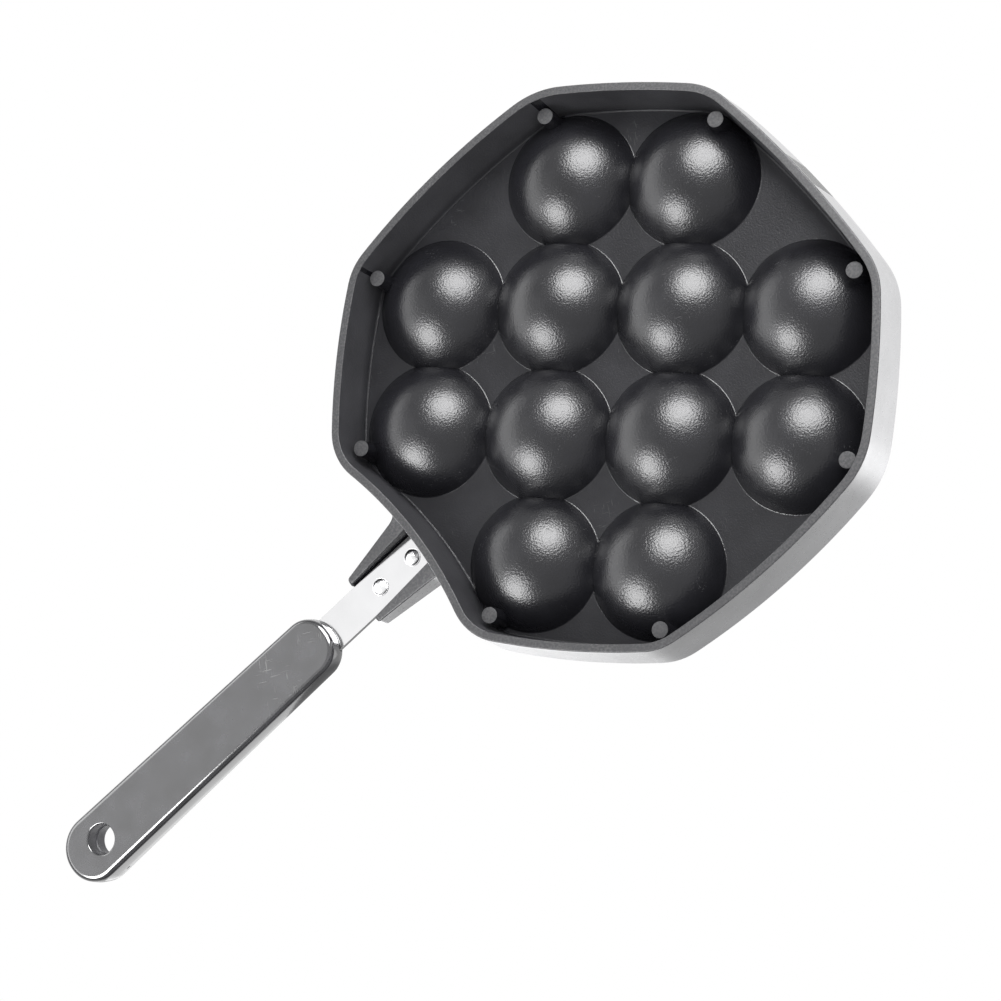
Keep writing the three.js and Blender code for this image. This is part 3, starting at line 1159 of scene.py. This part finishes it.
@dataclass
class PanBody:
    """The casting: skirt, plate, cups, posts and lug in one."""

    outline: RimOutline = field(default_factory=RimOutline)
    lug: Lug = field(default_factory=Lug)
    rim_thickness: float = 3 * MM
    rim_round: float = 0.6 * MM
    mouth_edge: float = 0.3 * MM
    inner_draft: float = 0.7 * MM
    plate_round: float = 1.5 * MM
    foot_round: float = 0.9 * MM
    land: float = 1.2 * MM
    cup_depth: float = 14.8 * MM
    cup_wall: float = 3.2 * MM
    mouth_round: float = 0.7 * MM
    dome_foot: float = 0.6 * MM
    row_count: int = 4
    reach_share: float = 1.8
    post_shares: tuple[Span, ...] = ((1.875, 0.873), (0.923, 1.851), (-0.912, 1.841), (-1.849, 0.817))
    post_diameter: float = 5.9 * MM
    post_length: float = 13.5 * MM
    post_draft: float = 0.3 * MM
    post_edge: float = 0.3 * MM
    post_foot: float = 0.8 * MM
    bare_share: float = 0.7
    touching: float = 0.03 * MM
    overrun: float = 2 * MM
    segments: int = 96
    rings: int = 26
    edge_steps: int = 5
    post_segments: int = 40
    post_edge_steps: int = 3
    post_foot_steps: int = 4

    @property
    def cup_radius(self) -> float:
        """Radius of the cups' ball."""
        mouth = (LEVELS.pitch - self.land) / 2
        return (mouth**2 + self.cup_depth**2) / (2 * self.cup_depth)

    @property
    def cup_centre(self) -> float:
        """Level of the centre of the cups' ball."""
        return LEVELS.top + self.cup_radius - self.cup_depth

    def _edge(self, offset: float, level: float, radius: float, aside: int, rise: int) -> list[Ring]:
        """Rings of a rounded edge that runs along the rim's outline.

        Args:
            offset: How far outside the outline the side beside it lies.
            level: Level of the face at its end.
            radius: Radius of the edge.
            aside: 1 where it rounds away outwards and -1 where it does inwards.
            rise: 1 where the side runs up from it and -1 where it runs down.

        Returns:
            The rings, from the lowest up.
        """
        rings = [
            self.outline.ring(offset + aside * inward, level + rise * upward)
            for inward, upward in quarter_round(radius, self.edge_steps)
        ]
        return rings[::rise]

    def _shell(self) -> Object:
        """The plate and its skirt as one solid with its hollow carved out.

        Returns:
            The solid.
        """
        inner = -self.rim_thickness
        rim = self._edge(0, 0, self.rim_round, -1, 1)
        top = self._edge(LEVELS.outer_draft, LEVELS.top, self.plate_round, -1, -1)
        mouth = self._edge(inner, 0, self.mouth_edge, 1, 1)
        foot = self._edge(inner - self.inner_draft, LEVELS.skirt, self.foot_round, -1, -1)
        below = self.outline.ring(self.mouth_edge + inner, -self.overrun)
        return combined(loft("pan", rim + top), loft("hollow", [below, *mouth, *foot]), Solid.CARVE)

    def _ball(self, name: str, radius: float, face: float, fillet: float, top: float) -> Object:
        """A ball's lower part that runs into a level face with a fillet and goes straight on upwards.

        Args:
            name: Name of the object.
            radius: Radius of the ball.
            face: Level of the face.
            fillet: Radius of the fillet.
            top: Level at which the solid ends.

        Returns:
            The solid on the Z axis.
        """
        drop = self.cup_centre - face + fillet
        fillet_x = math.sqrt((radius + fillet) ** 2 - drop**2)
        meeting = math.atan2(fillet_x, drop)
        profile = [(0.0, self.cup_centre - radius)]
        for k in range(1, self.rings + 1):
            angle = meeting * k / self.rings
            profile.append((radius * math.sin(angle), self.cup_centre - radius * math.cos(angle)))
        for k in range(1, self.edge_steps + 1):
            angle = meeting * (1 - k / self.edge_steps)
            profile.append((fillet_x - fillet * math.sin(angle), face - fillet + fillet * math.cos(angle)))
        profile += [(fillet_x, top), (0.0, top)]
        return lathe(name, profile, self.segments)

    def _cups(self, template: Object) -> list[Object]:
        """Copies of a template on the places of the cups, one object each.

        Args:
            template: The solid, which is used up.

        Returns:
            The twelve solids.
        """
        return separate(cup_grid_tree().run(
            template, Pitch=LEVELS.pitch, Rows=self.row_count, Reach=LEVELS.pitch * self.reach_share,
            Turn=QUARTER / 2, Middle_X=LEVELS.centre_x,
        ))

    def _post(self) -> Object:
        """One round post, with a broken edge at its tip and a spread foot.

        Returns:
            The solid on the Z axis.
        """
        radius = self.post_diameter / 2
        tip = LEVELS.skirt - self.post_length
        foot = radius + self.post_draft
        rooted = LEVELS.skirt + LEVELS.plate / 2
        edge = quarter_round(self.post_edge, self.post_edge_steps)
        spread = quarter_round(self.post_foot, self.post_foot_steps)
        profile = [(0.0, tip)]
        profile += [(radius - inward, tip + upward) for inward, upward in edge]
        profile += [(foot + inward, LEVELS.skirt - upward) for inward, upward in reversed(spread)]
        profile += [(foot + self.post_foot, rooted), (0.0, rooted)]
        return lathe("post", profile, self.post_segments)

    @property
    def cup_places(self) -> list[tuple[float, float]]:
        """Places of the cups' axes in plan.

        Returns:
            X and Y of each.
        """
        shares = [row - (self.row_count - 1) / 2 for row in range(self.row_count)]
        turned = LEVELS.pitch * math.sqrt(0.5)
        return [
            (LEVELS.centre_x + (u - v) * turned, (u + v) * turned)
            for u in shares for v in shares if math.hypot(u, v) < self.reach_share
        ]

    def _from_post(self, place: Vector) -> float:
        """How far a place lies from the axis of the nearest post."""
        x, y = (place.x - LEVELS.centre_x) / LEVELS.pitch, abs(place.y) / LEVELS.pitch
        return min(math.hypot(x - a, y - b) for a, b in self.post_shares) * LEVELS.pitch

    def _is_dull_painted_light(self, place: Vector, turned: float, offset: float) -> bool:
        """Whether a face is on the plate's lower face or the skirt's inner side, clear of the cups and posts.

        Args:
            place: Centre of the face.
            turned: Z of its normal.
            offset: How far its centre lies outside the rim's outer edge.

        Returns:
            True for a face that gets the dull coating, which is painted lighter.
        """
        if abs(place.z - LEVELS.skirt) < self.touching:
            return turned < STRAIGHT_DOWN
        foot = self.rim_thickness + self.inner_draft + self.foot_round
        if place.z > LEVELS.skirt or not -foot - self.post_edge < offset < -self.rim_thickness / 2:
            return False
        ball = self.cup_radius + self.cup_wall + self.post_edge
        if any(math.dist(place, (x, y, self.cup_centre)) < ball for x, y in self.cup_places):
            return False
        return self._from_post(place) > self.post_diameter / 2 + self.post_draft + self.post_foot

    def _skin(self, face: MeshPolygon) -> Skin:
        """Finish of a face of the casting, by where it lies.

        Args:
            face: The face.

        Returns:
            Its finish.
        """
        place, turned = face.center, face.normal.z
        aside, height = abs(place.y), place.z
        offset = self.outline.offset_of(place.x, place.y)
        if place.x > LEVELS.wall_x or (offset > self.rim_round and aside < self.lug.root_reach):
            if turned < PARTLY_DOWN and height < LEVELS.strap_bottom:
                return Skin.WORN
            outer = aside > self.lug.channel_half + self.lug.inner_edge
            return Skin.BARE if outer and height < LEVELS.lug_top - self.lug.edge else Skin.COATED
        at_tip = abs(height - LEVELS.skirt + self.post_length) < self.post_edge and turned < STEEPLY_DOWN
        if at_tip and self._from_post(place) < self.post_diameter / 2:
            return Skin.WORN
        if height < self.mouth_edge and (turned < STRAIGHT_DOWN or offset > -self.rim_thickness):
            return Skin.WORN
        if self._is_dull_painted_light(place, turned, offset):
            return Skin.DULL
        outside = offset > -self.rim_round and height < LEVELS.top - self.plate_round * self.bare_share
        return Skin.BARE if outside else Skin.COATED

    def build(self) -> Object:
        """Make and dress the casting.

        Returns:
            The finished piece.
        """
        body = self._shell()
        middle = LEVELS.skirt + LEVELS.plate / 2
        ball = self._ball("dome", self.cup_radius + self.cup_wall, LEVELS.skirt, self.dome_foot, middle)
        for dome in self._cups(ball):
            combined(body, dome, Solid.JOIN)
        places = [
            Vector((x * LEVELS.pitch + LEVELS.centre_x, side * y * LEVELS.pitch, 0))
            for x, y in self.post_shares for side in (1, -1)
        ]
        combined(body, copies_at(self._post(), places), Solid.JOIN)
        combined(body, self.lug.build(), Solid.JOIN)
        above = LEVELS.top + self.overrun
        for cup in self._cups(self._ball("cup", self.cup_radius, LEVELS.top, self.mouth_round, above)):
            combined(body, cup, Solid.CARVE)
        combined(body, rivet_holes(LEVELS.strap_top, above), Solid.CARVE)
        body.name = "pan"
        painted(
            body, Coating().build("black_coating"), SandedCoating().build("sanded_coating"),
            BareAluminium().build("bare_aluminium"), DULL_PAINTED_LIGHT_COATING.build("dull_coating"),
        )
        for face in body.data.polygons:
            face.material_index = self._skin(face).value
        return kept(body, "coated_aluminium", "pan_body")


def separate(made: Object) -> list[Object]:
    """Split an object into its loose parts.

    Args:
        made: The object, which is used up.

    Returns:
        One object for each loose part.
    """
    mesh = bmesh.new()
    mesh.from_mesh(made.data)
    mesh.verts.ensure_lookup_table()
    left = set(range(len(mesh.verts)))
    parts = []
    while left:
        first = min(left)
        group, queue = {first}, [mesh.verts[first]]
        while queue:
            for edge in queue.pop().link_edges:
                for vertex in edge.verts:
                    if vertex.index not in group:
                        group.add(vertex.index)
                        queue.append(vertex)
        left -= group
        numbers = {old: new for new, old in enumerate(sorted(group))}
        points = [mesh.verts[old].co.copy() for old in sorted(group)]
        faces = [
            [numbers[vertex.index] for vertex in face.verts]
            for face in mesh.faces if face.verts[0].index in group
        ]
        parts.append(mesh_object(made.name, points, faces))
    mesh.free()
    bpy.data.objects.remove(made)
    return parts


def rounded_bar(name: str, corners: Sequence[tuple[float, float, float]], edge: float, steps: int,
                level: Callable[[float, float], float], draft: float = 0) -> Object:
    """A flat bar with rounded corners in plan and rounded edges.

    Args:
        name: Name of the object.
        corners: X, half width and rounding of the corners at the start and the end.
        edge: Rounding of the edges between faces and sides.
        steps: Steps in each rounding of the edges.
        level: Height at a place X of the lower face for -1, of the upper face for 1 and of the parting
            line for 0.
        draft: How far the sides stand out at their middle, where a parting line runs round.

    Returns:
        The closed solid.
    """
    (start, start_half, start_round), (end, end_half, end_round) = corners
    turns = [
        (end - end_round, -(end_half - end_round), end_round, -1),
        (end - end_round, end_half - end_round, end_round, 0),
        (start + start_round, start_half - start_round, start_round, 1),
        (start + start_round, -(start_half - start_round), start_round, 2),
    ]

    def ring(inset: float, side: float, lift: float) -> Ring:
        """The plan drawn in by an inset at a level.

        Args:
            inset: How far it is drawn in.
            side: The face it belongs to, as level has it.
            lift: How far it lies in from that face.

        Returns:
            The ring, counter-clockwise.
        """
        points = []
        for x, y, radius, quarter in turns:
            for k in range(CORNER_STEPS + 1):
                angle = QUARTER * (quarter + k / CORNER_STEPS)
                reach = radius - inset
                place = Vector((x + reach * math.cos(angle), y + reach * math.sin(angle), 0))
                place.z = level(place.x, side) - side * lift
                points.append(place)
        return points

    rounded = quarter_round(edge, steps)
    low = [ring(draft + inset, -1, lift) for inset, lift in rounded]
    high = [ring(draft + inset, 1, lift) for inset, lift in reversed(rounded)]
    return loft(name, low + ([ring(0, 0, 0)] if draft else []) + high)


@dataclass
class HandleStrap:
    """The flat steel strap from the lug into the grip."""

    corner_round: float = 1.5 * MM
    edge: float = 0.2 * MM
    tang: float = 58 * MM
    tang_hole: float = 6 * MM
    tang_hole_spacing: float = 26 * MM
    edge_steps: int = 3
    overrun: float = 1 * MM

    def build(self) -> Object:
        """Make and dress the strap.

        Returns:
            The finished piece.
        """
        end = LEVELS.grip_x + self.tang
        half = LEVELS.strap_width / 2
        low, high = LEVELS.strap_bottom, LEVELS.strap_top
        corners = [(x, half, self.corner_round) for x in (LEVELS.strap_x, end)]
        bar = rounded_bar(
            "strap", corners, self.edge, self.edge_steps, lambda _, side: high if side > 0 else low,
        )
        below, above = low - self.overrun, high + self.overrun
        combined(bar, rivet_holes(below, above), Solid.CARVE)
        middle = LEVELS.grip_x + self.tang / 2
        places = [Vector((middle + side * self.tang_hole_spacing / 2, 0, 0)) for side in (1, -1)]
        combined(bar, copies_at(upright_peg("holes", self.tang_hole, below, above), places), Solid.CARVE)
        painted(bar, BrightSteel().build("bright_steel"))
        return kept(bar, "strap_steel", "handle_strap")


@dataclass
class Rivets:
    """The two rivets through strap and lug."""

    head: float = 6.4 * MM
    head_height: float = 1.6 * MM
    tail: float = 6.8 * MM
    tail_height: float = 1 * MM
    edge: float = 0.2 * MM
    seat: float = 0.06 * MM
    dome_share: float = 0.94
    dome_steps: int = 12

    def build(self) -> Object:
        """Make one rivet, copy it onto both places and dress it.

        Returns:
            The finished piece with both rivets.
        """
        foot = LEVELS.strap_bottom - self.seat
        tail_foot = LEVELS.lug_top + LEVELS.seat
        radius, shank, tail = self.head / 2, LEVELS.shank / 2, self.tail / 2
        ball = (radius**2 + self.head_height**2) / (2 * self.head_height)
        spread = math.asin(radius / ball) * self.dome_share
        profile = [(0.0, foot - self.head_height)]
        for k in range(1, self.dome_steps + 1):
            angle = spread * k / self.dome_steps
            profile.append((ball * math.sin(angle), foot - self.head_height + ball * (1 - math.cos(angle))))
        profile += [
            (radius, foot - self.edge), (radius - self.edge / 2, foot), (shank, foot), (shank, tail_foot),
            (tail - self.edge, tail_foot), (tail, tail_foot + self.edge),
            (tail - self.tail_height / 2, tail_foot + self.tail_height - self.edge),
            (tail - self.tail_height / 2 - self.edge, tail_foot + self.tail_height),
            (0.0, tail_foot + self.tail_height),
        ]
        bright = BareAluminium((0.86, 0.86, 0.87), depth=0.002 * MM, roughness=(0.18, 0.27))
        finish = bright.build("rivet_aluminium")
        rivets = copies_at(lathe("rivets", profile, ROUND_STEPS), LEVELS.rivet_places, finish)
        smoothed(rivets)
        return kept(rivets, "rivet_aluminium", "rivet_at_wall", "rivet_at_tip")


@dataclass
class Grip:
    """The moulded grip with its hanging hole."""

    length: float = 136.3 * MM
    near_width: float = 22.8 * MM
    far_width: float = 25.8 * MM
    near_thickness: float = 9.6 * MM
    far_thickness: float = 11.9 * MM
    near_corner: float = 10.5 * MM
    far_corner: float = 12.6 * MM
    edge: float = 2.2 * MM
    side_draft: float = 0.3 * MM
    drop: float = 1.7 * MM
    hole: float = 11.4 * MM
    hole_setback: float = 17.5 * MM
    hole_edge: float = 0.6 * MM
    hole_ridge: float = 0.4 * MM
    gate_setback: float = 16.9 * MM
    gate_rise: float = 1.8 * MM
    gate_size: tuple[float, float, float] = (2 * MM, 1 * MM, 0.9 * MM)
    overrun: float = 2 * MM
    edge_steps: int = 8
    slot_steps: int = 2
    hole_steps: int = 64
    hole_edge_steps: int = 4
    gate_steps: int = 16

    @property
    def middle(self) -> float:
        """Level of the grip's middle plane."""
        return (LEVELS.strap_top + LEVELS.strap_bottom) / 2 - self.drop

    def _level(self, x: float, side: float) -> float:
        """Level of a face of the grip at a place.

        Args:
            x: Place along the handle.
            side: -1 for the lower face, 1 for the upper one, 0 for the middle.

        Returns:
            The level.
        """
        share = (x - LEVELS.grip_x) / self.length
        thickness = self.near_thickness + (self.far_thickness - self.near_thickness) * share
        return self.middle + side * thickness / 2

    def _gate(self, x: float) -> Object:
        """Cutter for the small oval dimple that the mould's gate left in the side.

        Args:
            x: Place along the handle.

        Returns:
            The solid in its place.
        """
        half_way = self.gate_steps // 2
        angles = [math.pi * k / half_way for k in range(1, half_way)]
        ball = [(math.sin(angle), -math.cos(angle)) for angle in angles]
        gate = lathe("gate", [(0.0, -1.0), *ball, (0.0, 1.0)], self.gate_steps)
        near, far = LEVELS.grip_x + self.near_corner, LEVELS.grip_x + self.length - self.far_corner
        side = (self.near_width + (self.far_width - self.near_width) * (x - near) / (far - near)) / 2
        sizes = Matrix.Diagonal((*(size / 2 for size in self.gate_size), 1))
        gate.data.transform(Matrix.Translation((x, -side, self.middle + self.gate_rise)) @ sizes)
        return gate

    def _slot(self, start: float) -> Object:
        """Cutter for the slot that holds the strap's tang.

        Args:
            start: X of the grip's start.

        Returns:
            The solid in its place.
        """
        strap, seat = HandleStrap(), LEVELS.seat
        half = LEVELS.strap_width / 2 + seat
        ends = (start - self.near_corner, start + strap.tang + seat)
        return rounded_bar(
            "slot", [(x, half, strap.corner_round) for x in ends], seat, self.slot_steps,
            lambda _, side: LEVELS.strap_top + seat if side > 0 else LEVELS.strap_bottom - seat,
        )

    def _hole(self, x: float, low: float, high: float) -> Object:
        """Cutter for the hanging hole, with rounded mouths and a ridge half way.

        Args:
            x: Its place along the grip.
            low: Level of the grip's lower face there.
            high: Level of its upper face.

        Returns:
            The solid in its place.
        """
        radius, wide = self.hole / 2, self.hole / 2 + self.hole_edge
        rounded = quarter_round(self.hole_edge, self.hole_edge_steps)
        lower = [(radius + inward, low + upward) for inward, upward in rounded]
        ridge = [
            (radius, self.middle - self.hole_ridge), (radius - self.hole_ridge, self.middle),
            (radius, self.middle + self.hole_ridge),
        ]
        below, above = low - self.overrun, high + self.overrun
        upper = [(reach, low + high - level) for reach, level in reversed(lower)]
        ends = [(wide, above), (0.0, above)]
        hole = lathe("hole", [(0.0, below), (wide, below), *lower, *ridge, *upper, *ends], self.hole_steps)
        hole.data.transform(Matrix.Translation((x, 0, 0)))
        return hole

    def build(self) -> Object:
        """Make and dress the grip.

        Returns:
            The finished piece.
        """
        start, end = LEVELS.grip_x, LEVELS.grip_x + self.length
        corners = [(start, self.near_width / 2, self.near_corner), (end, self.far_width / 2, self.far_corner)]
        grip = rounded_bar("grip", corners, self.edge, self.edge_steps, self._level, self.side_draft)
        combined(grip, self._slot(start), Solid.CARVE)
        x = end - self.hole_setback
        low, high = self._level(x, -1), self._level(x, 1)
        combined(grip, self._hole(x, low, high), Solid.CARVE)
        combined(grip, self._gate(end - self.gate_setback), Solid.CARVE)
        # Painted light and shade: inside the hanging hole the same phenolic is made duller, which dims its
        # reflections, and lighter in colour.
        matt = Phenolic((0.05, 0.05, 0.055), gloss=0.35, roughness=0.45)
        painted(grip, Phenolic().build("phenolic"), matt.build("matt_phenolic"))
        reach = (high - low) / 2 - self.hole_edge / 2
        # The faces of the hole's inner wall take that painted copy.
        for face in grip.data.polygons:
            beside = math.dist(face.center[:2], (x, 0)) < self.hole / 2 + self.hole_edge / 4
            face.material_index = int(beside and abs(face.center.z - self.middle) < reach)
        return kept(grip, "phenolic", "grip")


# Stage


def hidden_from(made: Object, *rays: str) -> None:
    """Hide an object from kinds of rays, such as camera or shadow."""
    for ray in rays:
        setattr(made, f"visible_{ray}", False)


@dataclass(frozen=True)
class Softbox:
    """A soft lamp that isn't seen by the camera, and is mirrored at a level of its own.

    The light level is plain, so that a colour renders about as it is written, while the mirrored level sets
    how bright the highlights are.
    """

    name: str
    place: tuple[float, float, float]
    size: tuple[float, float]
    mirrored: float
    light: float
    aim: tuple[float, float, float] = (-0.09, 0, 0.01)
    along: tuple[float, float, float] = (1, 0, 0)
    shape: LampShape = LampShape.ROUND

    def _hang(self, name: str, radiance: float) -> Object:
        """Hang one lamp of a radiance that faces its aim, with its first side along a direction.

        Args:
            name: Name of the lamp.
            radiance: How bright its face is.

        Returns:
            The lamp.
        """
        lamp = bpy.data.lights.new(name, "AREA")
        lamp.shape = self.shape.value
        lamp.size, lamp.size_y = self.size
        share = math.pi / 4 if self.shape is LampShape.ROUND else 1
        lamp.energy = radiance * math.pi * share * self.size[0] * self.size[1]
        back = (Vector(self.place) - Vector(self.aim)).normalized()
        across = back.cross(Vector(self.along)).normalized()
        hung = bpy.data.objects.new(name, lamp)
        turn = Matrix((across.cross(back), across, back)).transposed().to_4x4()
        hung.matrix_world = Matrix.Translation(self.place) @ turn
        hidden_from(hung, "camera")
        bpy.context.scene.collection.objects.link(hung)
        return hung

    def build(self) -> None:
        """Hang the mirrored lamp and the one that lights, where they have a level."""
        if self.mirrored:
            hidden_from(self._hang(f"{self.name}_mirrored", self.mirrored), "diffuse")
        if self.light:
            hidden_from(self._hang(f"{self.name}_light", self.light), "glossy")


@dataclass(frozen=True)
class DarkSide:
    """A softly edged part of the room that is darker where it is mirrored.

    Each fade is a direction and the two cosines between which the darkness sets in, and fades multiply.
    """

    level: float
    fades: tuple[tuple[tuple[float, float, float], float, float], ...]


@dataclass
class Studio:
    """Floor, world, lamps and camera."""

    floor_half: float = 6.0
    fade_start: float = 0.45
    fade_end: float = 1.1
    floor_colour: Colour = (0.82, 0.82, 0.82)
    floor_roughness: float = 0.9
    ambient: float = 0.4
    camera_place: tuple[float, float, float] = (-0.184927, -0.290671, -0.685834)
    camera_turn: tuple[float, float, float, float] = (-0.16175576, -0.34004922, 0.9157639, -0.13992171)
    lens: float = 78.457
    sensor: float = 36
    clip_start: float = 10 * MM
    floor_gap: float = 0.3 * MM
    shade_gap: float = 0.1 * MM
    shade_margin: float = 0.6 * MM
    strap_opening: float = 26 * MM
    handle_opening: tuple[Span, ...] = (
        (45 * MM, -26 * MM), (45 * MM, -20 * MM), (200 * MM, -20 * MM),
        (200 * MM, 60 * MM), (45 * MM, 60 * MM), (45 * MM, 26 * MM),
    )
    dark_sides: tuple[DarkSide, ...] = (
        DarkSide(0.42, (((0.295, -0.479, 0.832), 0.84, 1.0),)),
        DarkSide(0.15, (((0, -1, 0), 0.4, 0.65), ((0, 0, 1), -0.5, -0.2), ((0, 0, -1), -0.65, -0.35))),
    )
    lamps: tuple[Softbox, ...] = (
        Softbox("key_below", (-0.575, 0.248, -0.606), (0.66, 0.66), 20, 5),
        Softbox("fill_below", (0.548, -0.118, -0.509), (0.5, 0.5), 18, 3),
        Softbox("panel_left", (0.855, 1.141, -0.294), (1.45, 1.9), 2.9, 0.3,
                (0.557, 0.918, 0.635), (0.836, 0.41, 0.373), LampShape.SQUARE),
        Softbox("panel_handle", (0.29, 0.362, -0.668), (0.4, 0.6), 0.7, 0,
                (-0.008, 0.139, 0.261), (0.836, 0.41, 0.373), LampShape.SQUARE),
        Softbox("front", (-0.25, -0.35, -0.95), (1.0, 1.0), 0, 1.6),
        Softbox("side", (-1.1, 0.17, -0.3), (0.9, 0.9), 0, 1),
        Softbox("card_above", (0.255, -0.115, 0.25), (0.18, 0.2), 1.7, 0,
                (0.255, -0.115, 0), shape=LampShape.SQUARE),
        Softbox("key_above", (-0.7, -0.8, 1.0), (0.7, 0.7), 1, 3),
        Softbox("fill_above", (-0.3, 0.95, 0.8), (0.9, 0.9), 1, 1.5),
    )

    def _corners(self, level: float) -> Ring:
        """The floor's corners at a level."""
        signs = ((-1, -1), (1, -1), (1, 1), (-1, 1))
        return [Vector((x * self.floor_half, y * self.floor_half, level)) for x, y in signs]

    def _floor(self) -> Material:
        """A pale floor that fades to white far out and isn't there when seen from below.

        Returns:
            Its material.
        """
        floor = mesh_object("floor", self._corners(-self.floor_gap), [range(4)])
        shader = Shader("pale_floor")
        shader.dress(Base_Color=self.floor_colour, Roughness=self.floor_roughness, Specular_IOR_Level=0.0)
        length = shader.feed(shader.node("ShaderNodeVectorMath", operation="LENGTH"), 0, shader.place)
        faded = shader.ramp(length.outputs["Value"], self.fade_start, self.fade_end)
        white = shader.node("ShaderNodeEmission").outputs[0]
        nothing = shader.node("ShaderNodeBsdfTransparent").outputs[0]
        behind = shader.node("ShaderNodeNewGeometry").outputs["Backfacing"]
        shown = shader.surface.outputs[0]
        for share, other in ((faded, white), (behind, nothing)):
            mixed = shader.node("ShaderNodeMixShader")
            for entry, value in enumerate((share, shown, other)):
                shader.feed(mixed, entry, value)
            shown = mixed.outputs[0]
        shader.feed(shader.tree.nodes["Material Output"], "Surface", shown)
        floor.data.materials.append(shader.material)
        hidden_from(floor, "diffuse", "glossy", "transmission", "shadow")
        return shader.material

    def _shade(self, material: Material) -> None:
        """A second floor just below that hides the lamps below the pan from the wall's outer side.

        It is open under the mouth and the handle.

        Args:
            material: The floor's material.
        """
        level = -self.floor_gap - self.shade_gap
        edge = [
            point for point in RimOutline().ring(self.shade_margin, level)
            if abs(point.y) > self.strap_opening or point.x < LEVELS.centre_x
        ]
        edge.sort(key=lambda point: math.atan2(point.y, point.x - LEVELS.centre_x))
        half_way = sum(point.y < 0 for point in edge)
        edge[half_way:half_way] = [Vector((x, y, level)) for x, y in self.handle_opening]
        far = self._corners(level)
        shade = mesh_object("floor_shade", far + edge, tessellate_polygon([far, edge]))
        if shade.data.polygons[0].normal.z < 0:
            shade.data.flip_normals()
        shade.data.materials.append(material)
        hidden_from(shade, "camera", "diffuse", "transmission")

    def _world(self) -> None:
        """White where it is seen, with dark sides where it is mirrored, and dimmer as light."""
        world = bpy.data.worlds.new("studio")
        world.use_nodes = True
        bpy.context.scene.world = world
        room = Nodes(world.node_tree)
        towards = room.node("ShaderNodeTexCoord").outputs["Generated"]
        level: object = 1.0
        for side in self.dark_sides:
            dark: object = 1.0
            for direction, low, high in side.fades:
                cosine = room.feed(room.node("ShaderNodeVectorMath", operation="DOT_PRODUCT"), 0, towards)
                room.feed(cosine, 1, direction)
                fade = room.ramp(cosine.outputs["Value"], low, high, interpolation_type="SMOOTHSTEP")
                dark = room.sums("MULTIPLY", dark, fade)
            dimmed = room.ramp(dark, 0, 1, 1, side.level, interpolation_type="SMOOTHSTEP")
            level = room.sums("MULTIPLY", level, dimmed)
        path = room.node("ShaderNodeLightPath").outputs
        mirrored = room.sums("MAXIMUM", path["Is Glossy Ray"], path["Is Transmission Ray"])
        light = room.ramp(mirrored, 0, 1, self.ambient, level)
        background = room.tree.nodes["Background"]
        room.feed(background, "Strength", room.sums("MAXIMUM", path["Is Camera Ray"], light))
        room.feed(background, "Color", (1, 1, 1, 1))

    def _camera(self) -> None:
        """The camera of the photograph, below the pan and looking up at it."""
        lens = bpy.data.cameras.new("camera")
        lens.lens = self.lens
        lens.sensor_width = self.sensor
        lens.clip_start = self.clip_start
        camera = bpy.data.objects.new("camera", lens)
        camera.location = self.camera_place
        camera.rotation_mode = "QUATERNION"
        camera.rotation_quaternion = Quaternion(self.camera_turn)
        bpy.context.scene.collection.objects.link(camera)
        bpy.context.scene.camera = camera

    def build(self) -> None:
        """Set up all of it."""
        self._shade(self._floor())
        self._world()
        self._camera()
        for lamp in self.lamps:
            lamp.build()
        bpy.context.scene.view_settings.view_transform = "Standard"


def main() -> None:
    """Build the stage and every piece."""
    logging.basicConfig(level=logging.INFO, format="%(name)s: %(message)s")
    Studio().build()
    PanBody().build()
    HandleStrap().build()
    Rivets().build()
    Grip().build()


if __name__ == "__main__":
    main()
